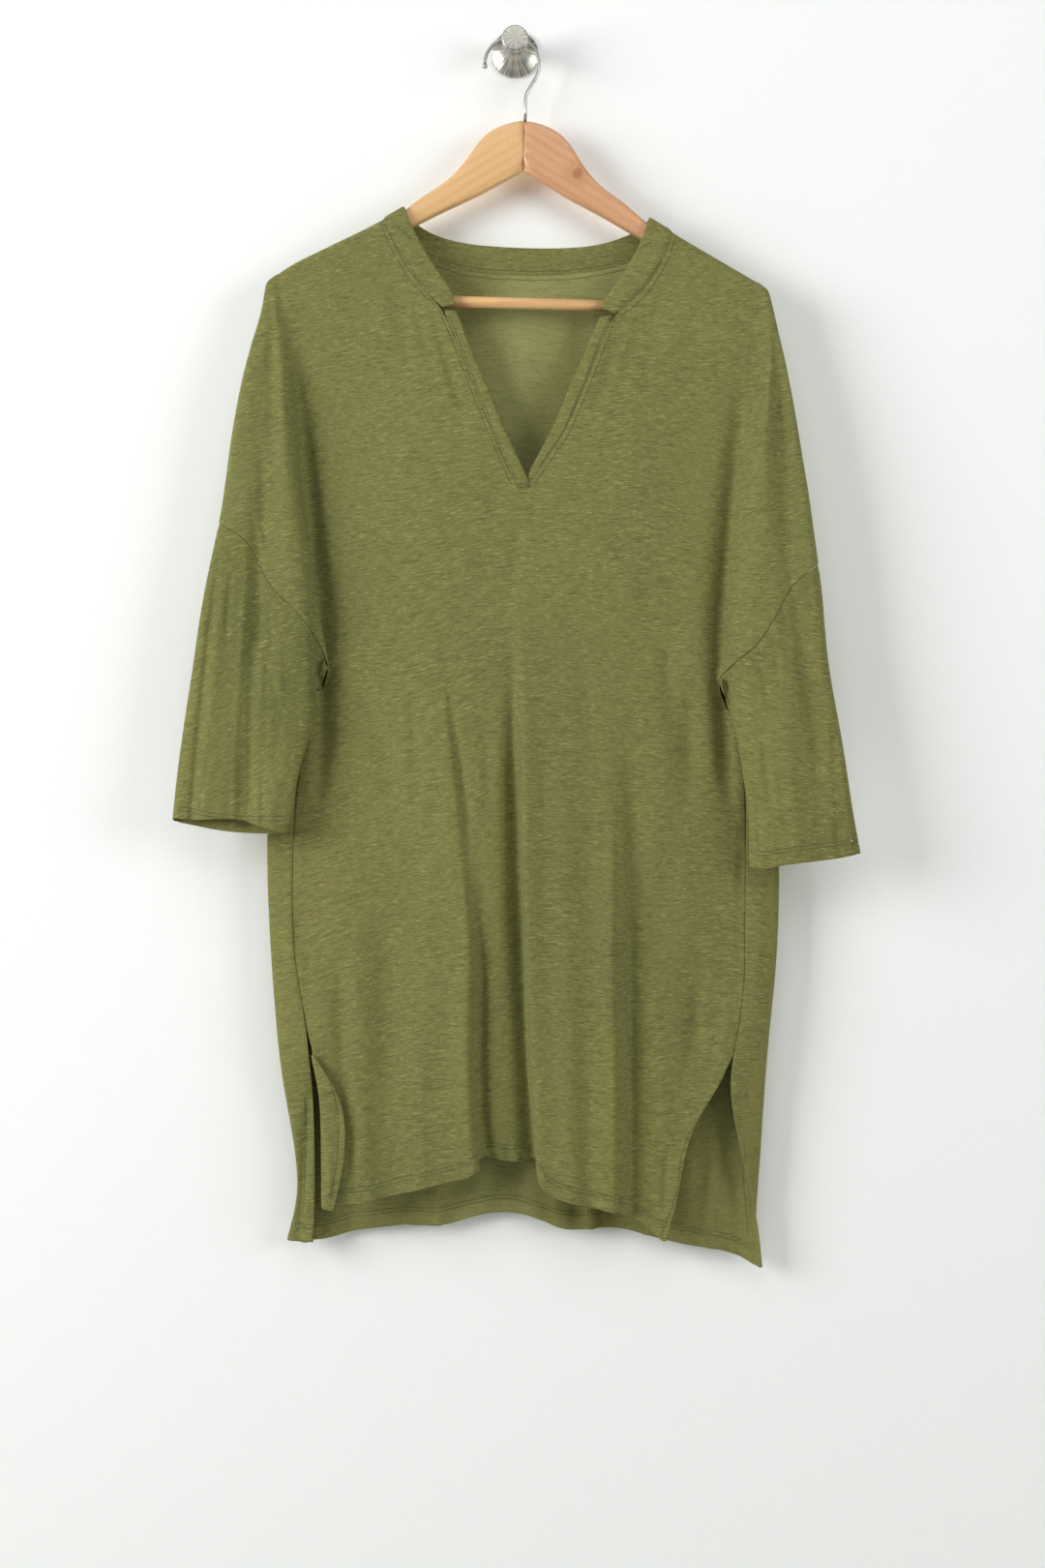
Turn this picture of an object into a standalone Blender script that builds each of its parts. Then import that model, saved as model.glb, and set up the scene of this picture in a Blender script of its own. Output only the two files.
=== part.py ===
# A tunic top on a wooden hanger that hangs from a steel knob on a wall.
# Frame: the origin is the middle of the knob's back face, on the wall. +Z is up, +X is the
# viewer's right and +Y goes into the wall.
# The tables are in millimetres. x is measured right of the knob's axis, drop is measured down
# from that axis, and out is measured from the wall towards the viewer.
# Left and right are the viewer's.

import math

import bmesh
import bpy
from mathutils import Vector

MM = 0.001

# Cloth walls and the gaps between pieces
CLOTH = 1.4
DOUBLE_CLOTH = 2.0
SEAM_GAP = 0.3
WELD = 0.02

# The knob, a turned trumpet shape: radius at each distance from the wall
KNOB_PROFILE = (
    (0.0, 21.5), (2.2, 21.5), (2.8, 20.8), (4.5, 17.0), (7.5, 12.6), (11.5, 9.4), (16.0, 7.3),
    (21.0, 6.3), (26.0, 6.3), (30.0, 7.2), (34.0, 8.9), (38.0, 10.8), (41.5, 11.9), (44.6, 12.0),
    (45.7, 11.2), (46.0, 10.0),
)
KNOB_SIDES = 32
KNOB_NECK = 6.3

# The hanger, drawn level about its own middle and then tilted as it hangs
HANGER_X = 9.2
HANGER_TILT = math.radians(1.65)
HANGER_OUT = 24.0
HANGER_THICK = 12.0
WOOD_CORNER = 4.5
HANGER_CURVE = 8.0
JOINT_GAP = 0.3
BAR_DROP = 235.0
BAR_RADIUS = 5.25
BAR_HALF = 190.0
HOOK_WIRE = 1.5
HOOK_RADIUS = 24.6
HOOK_BALL = 2.4

# The arm's edges: reach from the middle, top edge and bottom edge
ARM = (
    ("reach", "top", "bottom"),
    (0.0, 67.0, 115.0),
    (19.0, 71.5, 125.0),
    (33.0, 79.0, 133.5),
    (42.0, 88.5, 138.5),
    (51.0, 103.0, 143.0),
    (60.0, 115.5, 147.5),
    (72.0, 127.0, 153.5),
    (82.0, 133.5, 159.0),
    (94.0, 141.5, 165.5),
    (107.0, 153.8, 172.5),
    (130.0, 168.8, 186.0),
    (145.0, 178.0, 194.5),
    (160.0, 185.5, 203.0),
    (186.0, 201.0, 219.0),
    (190.0, 203.4, 221.0),
    (191.5, 204.2, 243.0),
    (212.0, 216.0, 243.0),
    (217.5, 220.5, 236.5),
)

# The top line that the cloth takes over the hanger
RIDGE = (
    ("x", "drop"),
    (-226.0, 218.0), (-203.0, 201.0), (-176.0, 187.0), (-120.0, 158.3), (-100.0, 146.6),
    (-62.0, 120.0), (9.0, 62.0), (80.0, 122.0), (121.0, 156.5), (143.0, 170.0),
    (169.0, 186.0), (196.0, 202.5), (222.0, 218.4), (232.0, 226.0),
)
CAP_RADIUS = 8.0

# The neck seam and the band's free edge on the front, from the shoulder to the band's end
NECK_LEFT = (
    ("drop", "x", "free_drop", "free_x"),
    (158.3, -120.0, 146.6, -100.0),
    (163.0, -118.0, 152.0, -98.5),
    (174.0, -113.0, 163.0, -94.5),
    (194.0, -103.0, 183.0, -84.5),
    (216.0, -90.0, 203.0, -73.0),
    (229.0, -77.0, 216.0, -63.0),
    (236.0, -68.5, 227.0, -56.5),
    (241.0, -64.0, 239.0, -53.5),
)
NECK_RIGHT = (
    ("drop", "x", "free_drop", "free_x"),
    (170.0, 143.0, 156.5, 121.0),
    (175.0, 141.5, 162.5, 119.5),
    (187.0, 137.0, 178.0, 114.5),
    (206.0, 129.0, 199.0, 104.5),
    (224.0, 117.0, 215.0, 94.0),
    (238.0, 103.0, 228.0, 84.0),
    (244.5, 92.0, 237.0, 79.0),
    (246.0, 88.0, 242.5, 77.5),
)

# The neck seam and the band's free edge round the back, from shoulder to shoulder
NECK_BACK = (
    ("x", "drop", "free_x", "free_drop"),
    (-120.0, 158.3, -100.0, 146.6),
    (-117.0, 161.2, -98.3, 149.4),
    (-113.0, 165.0, -96.0, 153.0),
    (-98.0, 178.5, -86.0, 162.5),
    (-74.0, 193.0, -70.0, 170.5),
    (-48.0, 201.0, -46.0, 176.5),
    (-20.0, 204.5, -17.0, 179.0),
    (15.0, 206.0, 15.0, 180.5),
    (48.0, 205.0, 45.0, 180.5),
    (78.0, 201.0, 74.0, 178.5),
    (104.0, 195.0, 96.0, 172.0),
    (126.0, 184.0, 111.0, 165.5),
    (137.0, 176.0, 117.5, 162.0),
    (140.0, 173.0, 119.3, 159.2),
    (143.0, 170.0, 121.0, 156.5),
)

# The V opening: the seam where each placket is sewn on, and the placket's free edge
V_LEFT = (
    ("drop", "x", "free_x"),
    (241.0, -64.0, -53.0), (269.0, -53.0, -43.0), (311.0, -37.0, -25.0), (351.0, -21.0, -9.0),
    (386.0, -6.0, 8.0), (399.0, -1.0, 13.6), (404.0, 1.0, 15.5),
)
V_RIGHT = (
    ("drop", "x", "free_x"),
    (246.0, 88.0, 77.0), (269.0, 79.0, 67.5), (311.0, 63.0, 49.5), (351.0, 46.0, 32.5),
    (386.0, 22.5, 14.0), (393.0, 17.2, 11.0), (398.0, 13.4, 8.5),
)
V_POINT_X = 7.0
V_POINT_DROP = 405.0
PLACKET_LIFT = 2.7
PLACKET_LIFT_START = 300.0

# The front panel's guide lines. Its outer edges are the side of the body under each arm, then the
# side seam, then the slit. The other three follow the deep folds.
FRONT_EDGE_LEFT = (
    ("drop", "x", "out"),
    (209.0, -214.0, 41.0), (254.0, -204.0, 41.0), (290.0, -197.0, 40.0), (408.0, -194.0, 38.5),
    (504.0, -190.0, 38.0), (539.0, -179.5, 39.5), (565.0, -168.0, 42.0), (580.0, -174.0, 41.0),
    (607.0, -184.0, 39.0), (645.0, -193.0, 37.0), (704.0, -199.0, 34.0), (781.0, -200.0, 33.0),
    (821.0, -199.0, 35.0), (850.0, -193.0, 38.0), (880.0, -188.0, 40.0), (912.0, -183.0, 42.0),
    (927.0, -176.0, 43.0), (960.0, -174.0, 43.0), (1064.0, -173.0, 44.0),
)
FRONT_FOLD_LEFT = (
    ("drop", "x", "out"),
    (165.0, -132.0, 36.0), (270.0, -97.0, 42.0), (400.0, -71.0, 43.0), (575.0, -61.0, 44.0),
    (652.0, -52.0, 45.0), (730.0, -44.0, 46.0), (828.0, -37.0, 47.0), (926.0, -39.0, 48.0),
    (974.0, -37.0, 48.0), (1018.0, -31.0, 48.0),
)
FRONT_CENTRE = (
    ("drop", "x", "out"),
    (405.0, 7.0, 42.0), (452.0, 2.0, 43.0), (522.0, -2.0, 44.0), (575.0, 0.0, 45.0),
    (663.0, 2.0, 46.0), (747.0, 6.0, 47.0), (826.0, 8.0, 47.0), (938.0, 12.0, 48.0),
    (974.0, 16.0, 48.0), (1020.0, 20.0, 48.0),
)
FRONT_FOLD_RIGHT = (
    ("drop", "x", "out"),
    (176.0, 155.0, 36.0), (253.0, 142.0, 42.0), (357.0, 115.0, 43.0), (487.0, 98.0, 44.0),
    (602.0, 88.0, 45.0), (699.0, 95.0, 46.0), (830.0, 90.0, 47.0), (930.0, 92.0, 48.0),
    (1056.0, 91.0, 48.0),
)
FRONT_EDGE_RIGHT = (
    ("drop", "x", "out"),
    (215.7, 217.5, 41.0), (240.0, 220.0, 41.0), (269.0, 218.0, 41.0), (298.0, 211.0, 40.0), (359.0, 199.0, 38.5),
    (401.0, 197.0, 38.0), (444.0, 195.0, 38.0), (521.0, 191.0, 38.0), (552.0, 188.0, 39.0),
    (577.0, 182.0, 42.0), (600.0, 195.0, 40.0), (640.0, 204.0, 37.0), (690.0, 208.0, 35.0),
    (792.0, 206.0, 34.0), (829.0, 207.0, 35.0), (869.0, 205.0, 37.0), (901.0, 198.5, 39.0),
    (936.0, 190.0, 42.0), (960.0, 171.0, 43.0), (974.0, 160.5, 43.0), (989.0, 155.0, 43.0),
    (1006.0, 152.0, 43.0), (1026.0, 151.0, 44.0), (1039.0, 149.0, 44.0), (1051.0, 144.5, 44.0),
    (1066.0, 140.0, 44.0), (1084.0, 135.0, 44.0),
)

# The front hem: how low it hangs at each place across. Whole numbers are the guide lines.
FRONT_HEM = (
    ("across", "drop"),
    (0.0, 1052.0), (0.15, 1049.0), (0.45, 1037.0), (0.75, 1023.0), (0.95, 1015.0), (1.0, 1012.0),
    (1.06, 1008.0), (1.2, 1007.0), (1.5, 1012.0), (1.8, 1010.0), (1.94, 1007.0), (2.0, 1013.0),
    (2.1, 1028.0), (2.25, 1038.0), (2.5, 1047.0), (2.8, 1053.0), (2.95, 1055.0), (3.05, 1055.0),
    (3.3, 1062.0), (3.6, 1072.0), (3.85, 1080.0), (4.0, 1084.0),
)

# Rows of the front panel: how many steps lead to each level, and the level's drop at the outer
# edges, at the neck or middle on each side, and again at the other edge
FRONT_ROWS = (
    ("steps", "edge_left", "inner_left", "inner_right", "edge_right"),
    (0, 209.0, 158.3, 170.0, 215.7),
    (4, 218.0, 167.3, 179.0, 224.7),
    (3, 290.0, 241.0, 246.0, 300.0),
    (4, 412.0, 388.0, 388.0, 424.0),
    (1, 430.0, 405.0, 405.0, 440.0),
    (4, 565.0, 545.0, 545.0, 577.0),
    (8, 912.0, 890.0, 890.0, 936.0),
    (4, 1052.0, 1013.0, 1013.0, 1084.0),
)
CAP_STEPS = (0.0, 0.1, 1.6, 4.6, 9.0)
NECK_STEPS = (0.0, 0.9, 2.2, 4.8, 9.0)

# Deep folds of the front: guide line, the drops where each starts and is full, how much nearer
# its right side lies, and how far one side laps over the other
FRONT_FOLDS = (
    ("guide", "start", "full", "step", "lap"),
    (1, 540.0, 960.0, -9.0, 5.0),
    (2, 430.0, 800.0, 13.0, 6.5),
    (3, 560.0, 1000.0, -9.0, 5.0),
)
FOLD_CORE = 6.5
FOLD_REACH = 42.0
FOLD_OFFSETS = (4.5, 10.0, 17.0)

# Soft valleys of the front and back: x at the top and the bottom, the drops between which each
# runs, its half width and its depth (below zero, a ridge)
FRONT_VALLEYS = (
    ("x_top", "x_low", "top", "low", "width", "depth"),
    (-120.0, -108.0, 700.0, 1060.0, 22.0, 5.0),
    (-166.0, -160.0, 440.0, 650.0, 12.0, 3.5),
    (-160.0, -154.0, 780.0, 1000.0, 9.0, 3.5),
    (157.0, 157.0, 560.0, 720.0, 14.0, 4.0),
    (160.0, 166.0, 820.0, 970.0, 11.0, 4.0),
    (-150.0, -140.0, 600.0, 1060.0, 18.0, -3.0),
    (118.0, 116.0, 800.0, 1090.0, 14.0, -3.0),
    (48.0, 50.0, 700.0, 1060.0, 18.0, -3.0),
)
BACK_VALLEYS = (
    ("x_top", "x_low", "top", "low", "width", "depth"),
    (-70.0, -62.0, 640.0, 1130.0, 26.0, -6.0),
    (-20.0, -10.0, 560.0, 1130.0, 20.0, 5.0),
    (36.0, 42.0, 620.0, 1130.0, 18.0, -8.0),
    (92.0, 96.0, 700.0, 1130.0, 20.0, 5.0),
    (150.0, 166.0, 640.0, 1130.0, 20.0, -5.0),
    (-128.0, -132.0, 600.0, 1130.0, 20.0, 5.0),
    (176.0, 190.0, 880.0, 1130.0, 10.0, 4.0),
)

# The strip along the left slit that is flipped outwards: how far it reaches back over the panel
FLAP_LEFT = (
    ("drop", "reach"),
    (912.0, 3.0), (922.0, 7.0), (934.0, 13.0), (948.0, 20.0), (966.0, 24.0), (1004.0, 22.0),
    (1023.0, 18.0), (1042.0, 12.0), (1062.0, 9.0),
)
FLAP_RADIUS = 2.9
SLIT_TOP = 912.0

# The back panel's guide lines on each side: its edge, the outermost line, and where it lies flat
BACK_EDGE_LEFT = (
    ("drop", "x", "out"),
    (209.0, -214.0, 22.5), (254.0, -206.0, 22.5), (300.0, -204.0, 21.5), (400.0, -200.0, 21.0),
    (480.0, -199.0, 22.0), (530.0, -195.0, 28.0), (552.0, -184.0, 34.5), (565.0, -168.5, 38.0),
    (580.0, -174.0, 38.0), (607.0, -184.0, 38.0), (645.0, -193.0, 37.0), (704.0, -199.0, 34.0),
    (781.0, -200.0, 33.0), (821.0, -199.0, 35.0), (850.0, -193.0, 38.0), (880.0, -188.0, 40.0),
    (912.0, -184.0, 40.0), (953.0, -181.0, 34.0), (987.0, -180.0, 32.0), (1057.0, -180.0, 30.0),
    (1090.0, -182.0, 28.0),
)
BACK_OUTER_LEFT = (
    ("drop", "x", "out"),
    (209.0, -210.5, 21.5), (300.0, -196.0, 19.0), (400.0, -191.0, 17.0), (480.0, -190.0, 17.0),
    (530.0, -194.0, 20.0), (552.0, -197.0, 24.0), (565.0, -200.0, 26.0), (610.0, -213.0, 27.0),
    (660.0, -222.0, 27.0), (712.0, -227.0, 26.0), (790.0, -225.0, 25.0), (851.0, -221.0, 25.0),
    (896.0, -218.0, 25.0), (956.0, -210.0, 24.0), (1011.0, -199.5, 23.0), (1038.0, -196.5, 23.0),
    (1071.0, -205.0, 22.0), (1090.0, -212.0, 21.0),
)
BACK_FLAT_LEFT = (
    ("drop", "x", "out"),
    (209.0, -203.0, 19.0), (300.0, -184.0, 16.0), (400.0, -178.0, 14.0), (530.0, -180.0, 13.0),
    (565.0, -184.0, 12.0), (610.0, -196.0, 12.0), (712.0, -211.0, 12.0), (851.0, -206.0, 12.0),
    (956.0, -194.0, 12.0), (1038.0, -182.0, 13.0), (1090.0, -197.0, 15.0),
)
BACK_EDGE_RIGHT = (
    ("drop", "x", "out"),
    (215.7, 217.5, 22.5), (269.0, 216.0, 22.5), (300.0, 211.0, 21.5), (400.0, 206.0, 21.0),
    (480.0, 204.0, 22.0), (540.0, 203.0, 28.0), (564.0, 195.0, 34.5), (577.0, 182.5, 38.0),
    (600.0, 195.0, 38.0), (640.0, 204.0, 37.0), (690.0, 208.0, 35.0), (792.0, 206.0, 34.0),
    (829.0, 207.0, 35.0), (869.0, 205.0, 37.0), (901.0, 198.5, 39.0), (936.0, 190.0, 40.0),
    (965.0, 196.0, 36.0), (994.0, 200.0, 34.0), (1027.0, 210.0, 31.0), (1053.0, 218.0, 27.0),
    (1077.0, 222.0, 24.0), (1112.0, 224.5, 22.0),
)
BACK_OUTER_RIGHT = (
    ("drop", "x", "out"),
    (216.3, 215.0, 21.5), (300.0, 203.0, 19.0), (400.0, 198.0, 17.0), (480.0, 197.0, 17.0),
    (540.0, 203.0, 20.0), (564.0, 209.0, 24.0), (577.0, 213.0, 26.0), (620.0, 227.0, 27.0),
    (680.0, 237.0, 27.0), (745.0, 242.0, 26.0), (795.0, 241.0, 25.0), (844.0, 238.0, 25.0),
    (888.0, 233.0, 25.0), (942.0, 229.0, 24.0), (1009.0, 224.0, 23.0), (1037.0, 222.0, 21.0),
    (1055.0, 219.5, 20.0), (1077.0, 218.0, 19.0), (1112.0, 218.0, 18.0),
)
BACK_FLAT_RIGHT = (
    ("drop", "x", "out"),
    (216.3, 207.0, 19.0), (300.0, 190.0, 16.0), (400.0, 185.0, 14.0), (540.0, 190.0, 13.0),
    (577.0, 197.0, 12.0), (620.0, 210.0, 12.0), (745.0, 226.0, 12.0), (888.0, 217.0, 12.0),
    (1009.0, 208.0, 12.0), (1055.0, 207.0, 14.0), (1112.0, 208.0, 16.0),
)
BACK_OUT = 12.5
BACK_LEAN = 60.0

# The back hem, from its left corner to its right corner
BACK_HEM = (
    ("x", "drop"),
    (-212.0, 1084.0), (-196.0, 1087.0), (-181.0, 1088.0), (-142.0, 1077.0), (-81.0, 1073.0),
    (-50.0, 1073.0), (-39.0, 1065.0), (0.0, 1061.0), (18.0, 1064.0), (28.0, 1073.0),
    (50.0, 1079.0), (66.0, 1077.0), (85.0, 1076.0), (129.0, 1085.0), (156.0, 1091.0),
    (196.0, 1096.0), (208.0, 1103.0), (225.0, 1112.0),
)
BACK_ROWS = (
    ("steps", "edge_left", "edge_right"),
    (0, 209.0, 215.7),
    (4, 218.0, 224.7),
    (8, 565.0, 577.0),
    (8, 912.0, 936.0),
    (4, 1086.0, 1110.0),
)

# The arms' outer lines, from the shoulder tip past the armhole to the cuff
OVERARM_LEFT = (
    ("drop", "x", "out"),
    (214.0, -221.5, 32.0), (216.5, -223.4, 32.3), (221.0, -225.2, 33.0), (228.0, -226.4, 34.0),
    (239.0, -227.5, 35.0), (273.0, -237.0, 39.0), (309.0, -246.0, 42.0),
    (343.0, -252.0, 45.0), (376.0, -257.0, 47.0), (401.0, -260.0, 49.0), (437.0, -265.5, 51.0),
    (459.0, -270.0, 52.0), (508.0, -280.0, 53.0), (565.0, -288.0, 54.0), (617.0, -296.0, 55.0),
    (670.0, -303.0, 55.5), (701.0, -306.0, 56.0),
)
OVERARM_RIGHT = (
    ("drop", "x", "out"),
    (220.7, 225.0, 32.0), (223.0, 227.2, 32.3), (227.5, 229.4, 33.0), (234.0, 231.2, 34.0),
    (243.0, 233.0, 35.0), (258.0, 236.0, 37.0),
    (281.0, 241.5, 39.5), (326.0, 250.0, 43.0), (376.0, 258.0, 46.0), (419.0, 265.0, 49.0),
    (474.0, 272.0, 51.5), (506.0, 276.0, 52.5), (550.0, 279.0, 53.5), (573.0, 282.0, 54.0),
    (612.0, 289.0, 54.5), (646.0, 295.0, 55.0), (683.0, 300.0, 55.5), (732.0, 309.0, 56.0),
)

# The inner edge of the cloth that hangs over each arm end, in front of the body
LOBE_LEFT = (
    ("drop", "x", "out"),
    (209.0, -217.5, 41.5), (257.0, -212.0, 46.0), (330.0, -203.0, 50.0), (401.0, -194.0, 52.0),
    (459.0, -184.0, 53.0), (501.0, -178.0, 53.0), (525.0, -173.5, 53.0), (550.0, -167.0, 52.0),
    (565.0, -166.5, 49.0),
)
LOBE_RIGHT = (
    ("drop", "x", "out"),
    (215.7, 221.0, 41.5), (240.0, 226.5, 43.5), (270.0, 228.0, 45.5), (298.0, 227.0, 47.0), (358.0, 218.0, 50.0),
    (435.0, 206.0, 52.0), (477.0, 202.0, 53.0), (518.0, 198.0, 53.0), (555.0, 190.0, 52.0),
    (577.0, 181.0, 49.0),
)
LOBE_OUT = (
    ("share", "out"),
    (0.0, 41.5), (0.15, 48.0), (0.35, 55.0), (0.6, 60.0), (1.0, 63.0),
)

# The sleeves' inner lines, from the underarm to the cuff
UNDERARM_LEFT = (
    ("drop", "x", "out"),
    (567.0, -169.5, 50.0), (577.0, -172.5, 54.0), (607.0, -177.0, 57.0), (628.0, -182.0, 57.0),
    (645.0, -188.0, 57.0), (666.0, -193.0, 57.0), (682.0, -196.0, 57.0), (700.0, -198.5, 57.0),
    (714.0, -203.0, 56.0),
)
UNDERARM_RIGHT = (
    ("drop", "x", "out"),
    (579.0, 183.5, 50.0), (588.0, 186.5, 54.0), (600.0, 190.5, 56.0), (613.0, 193.5, 57.0), (639.0, 199.0, 57.0),
    (672.0, 204.0, 57.0), (695.0, 207.0, 57.0), (716.0, 208.0, 57.0), (744.0, 208.0, 56.0),
)

# How far the armhole seam rises above a straight line from its outer end to the underarm
ARMHOLE_LIFT_LEFT = (
    ("share", "lift"),
    (0.0, 0.0), (0.12, 8.0), (0.3, 20.0), (0.36, 15.0), (0.42, 3.0), (0.6, 9.0), (0.8, 17.0),
    (0.93, 16.0), (1.0, 0.0),
)
ARMHOLE_LIFT_RIGHT = (
    ("share", "lift"),
    (0.0, 0.0), (0.12, 5.0), (0.27, 9.0), (0.45, -3.0), (0.62, -11.0), (0.84, 0.0), (1.0, 0.0),
)
ARMHOLE_LIFT_BACK = (
    ("share", "lift"),
    (0.0, 0.0), (0.3, 12.0), (0.6, 14.0), (0.85, 8.0), (1.0, 0.0),
)

# How far below a straight line each cuff's front and back hems hang
CUFF_SAG_LEFT = (
    ("share", "front", "back"),
    (0.0, 0.0, 2.0), (0.2, -1.0, 5.0), (0.45, -5.5, 6.0), (0.62, -7.5, 6.0), (0.68, -4.0, 5.0),
    (0.85, -1.0, 3.0), (1.0, 0.0, 0.0),
)
CUFF_SAG_RIGHT = (
    ("share", "front", "back"),
    (0.0, 0.0, 0.0), (0.15, 2.0, -2.0), (0.4, 2.5, -3.0), (0.7, 2.0, -3.0), (0.88, 4.0, -2.0),
    (1.0, 0.0, 0.0),
)

# The groove that runs down each arm's front, and how deep it is
GROOVE_LEFT = (
    ("drop", "x", "depth"),
    (225.0, -220.0, 0.0), (300.0, -216.0, 4.0), (400.0, -221.0, 8.0), (462.0, -226.0, 10.0),
    (511.0, -228.5, 11.0), (583.0, -233.0, 11.0), (710.0, -238.0, 9.0),
)
GROOVE_RIGHT = (
    ("drop", "x", "depth"),
    (250.0, 232.0, 0.0), (300.0, 235.0, 6.0), (363.0, 238.0, 10.0), (404.0, 240.0, 10.0),
    (446.0, 243.0, 9.0), (488.0, 249.0, 7.0), (550.0, 256.0, 5.0), (638.0, 266.0, 4.0),
    (745.0, 272.0, 3.0),
)
GROOVE_WIDTH = 6.0
SLEEVE_OUT = 66.0
SLEEVE_BACK_OUT = 50.0
INNER_BACK_OUT = 51.5
INNER_FRONT_OUT = 56.0
INNER_FOLD_WIDE = 2.5
INNER_FOLD_DEEP = 4.5
SLEEVE_ROWS = 10
UNDERARM_CLEAR = 1.6

ARM_SPANS = {
    "left": {"tip": 214.0, "armhole": 437.0, "underarm": 565.0, "cuff": 701.0, "inner_cuff": 714.0},
    "right": {"tip": 220.7, "armhole": 474.0, "underarm": 577.0, "cuff": 732.0, "inner_cuff": 744.0},
}


def rows_of(table):
    return [dict(zip(table[0], row)) for row in table[1:]]


def curve_through(keys, values):
    """A smooth curve through the points that never swings past them."""
    count = len(keys)
    slopes = [(values[i + 1] - values[i]) / (keys[i + 1] - keys[i]) for i in range(count - 1)]
    tangents = [slopes[0]]
    for i in range(1, count - 1):
        before, after = slopes[i - 1], slopes[i]
        tangents.append(0.0 if before * after <= 0 else 2.0 * before * after / (before + after))
    tangents.append(slopes[-1])

    def value(at):
        if at <= keys[0]:
            return values[0]
        if at >= keys[-1]:
            return values[-1]
        i = 0
        while at > keys[i + 1]:
            i += 1
        width = keys[i + 1] - keys[i]
        t = (at - keys[i]) / width
        t2, t3 = t * t, t * t * t
        return ((2 * t3 - 3 * t2 + 1) * values[i] + (t3 - 2 * t2 + t) * width * tangents[i]
                + (3 * t2 - 2 * t3) * values[i + 1] + (t3 - t2) * width * tangents[i + 1])

    return value


CURVES = {}


def read(table, key, value, at):
    """The smooth value of one column of a table, at a place along another column."""
    name = (id(table), key, value)
    if name not in CURVES:
        rows = rows_of(table)
        CURVES[name] = curve_through([row[key] for row in rows], [row[value] for row in rows])
    return CURVES[name](at)


def mix(a, b, t):
    return a + (b - a) * t


def ease(t):
    t = min(1.0, max(0.0, t))
    return t * t * (3.0 - 2.0 * t)


def place(x, out, drop):
    """A point in metres from the table's three measures."""
    return Vector((x, -out, -drop)) * MM


# The wooden arms' distance from the wall, which grows a little towards the tips
def arm_out(x):
    return HANGER_OUT + HANGER_CURVE * ((x - HANGER_X) / 225.0) ** 2


# Cloth bends over the arm: from its top line to its full distance in one cap radius
def over_arm(x, drop, full):
    below = drop - read(RIDGE, "x", "drop", x)
    t = min(1.0, max(0.0, below / CAP_RADIUS))
    return mix(arm_out(x), full, math.sqrt(1.0 - (1.0 - t) ** 2))


def back_out(x, drop, full):
    """The back leans from the arm's back face to its flat place lower down."""
    below = max(0.0, drop - read(RIDGE, "x", "drop", x))
    behind_arm = arm_out(x) - CAP_RADIUS
    leaning = mix(full, behind_arm, math.exp(-below / BACK_LEAN))
    return over_arm(x, drop, min(leaning, max(full, behind_arm)))


def valleys(table, x, drop):
    total = 0.0
    for row in rows_of(table):
        t = (drop - row["top"]) / (row["low"] - row["top"])
        if t <= 0.0 or t >= 1.0:
            continue
        middle = mix(row["x_top"], row["x_low"], t)
        fade = ease(t / 0.35) * ease((1.0 - t) / 0.25 if row["low"] < 1040.0 else 1.0)
        total += row["depth"] * fade * math.exp(-((x - middle) / row["width"]) ** 2)
    return total


# The front panel

def neck_x(side, drop):
    """The front panel's inner line: the neck seam, the placket's seam, then the middle."""
    neck, opening = (NECK_LEFT, V_LEFT) if side == "left" else (NECK_RIGHT, V_RIGHT)
    first = opening[1][0]
    last = opening[-1][0] - 6.0
    if drop <= first:
        return read(neck, "drop", "x", drop)
    if drop <= last:
        return read(opening, "drop", "x", drop)
    if drop < V_POINT_DROP:
        return mix(read(opening, "drop", "x", last), V_POINT_X, (drop - last) / (V_POINT_DROP - last))
    return read(FRONT_CENTRE, "drop", "x", drop)


def guide_x(guide, side, drop):
    if guide == 0:
        return read(FRONT_EDGE_LEFT, "drop", "x", drop) + flap_radius(drop)
    if guide == 1:
        return read(FRONT_FOLD_LEFT, "drop", "x", drop)
    if guide == 2:
        return neck_x(side, drop)
    if guide == 3:
        return read(FRONT_FOLD_RIGHT, "drop", "x", drop)
    return read(FRONT_EDGE_RIGHT, "drop", "x", drop)


def guide_out(guide, drop):
    tables = (FRONT_EDGE_LEFT, FRONT_FOLD_LEFT, FRONT_CENTRE, FRONT_FOLD_RIGHT, FRONT_EDGE_RIGHT)
    if guide == 2 and drop < V_POINT_DROP:
        return mix(36.0, 42.0, ease((drop - 165.0) / 80.0))
    return read(tables[guide], "drop", "out", drop)


def flap_radius(drop):
    """The flipped strip starts as a small curl at the top of the slit and opens below it."""
    start = 0.6 * FLAP_RADIUS * ease((drop - SLIT_TOP + 20.0) / 20.0)
    return mix(start, FLAP_RADIUS, ease((drop - SLIT_TOP) / 40.0))


def fold_shift(x, drop, side):
    """How far the deep folds move a point sideways and outwards."""
    shift, lift = 0.0, 0.0
    for row in rows_of(FRONT_FOLDS):
        strength = ease((drop - row["start"]) / (row["full"] - row["start"]))
        if strength <= 0.0:
            continue
        away = x - guide_x(row["guide"], side, drop)
        core = max(-1.0, min(1.0, away / FOLD_CORE))
        beyond = max(0.0, abs(away) - FOLD_CORE)
        lift += (0.5 * row["step"] * strength * math.sin(0.5 * math.pi * core)
                 / (1.0 + (beyond / FOLD_REACH) ** 2))
        side_way = math.sin(0.5 * math.pi * core) * max(0.0, 1.0 - beyond / (3.0 * FOLD_CORE))
        shift -= row["lap"] * strength * strength * side_way
    return shift, lift


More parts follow.
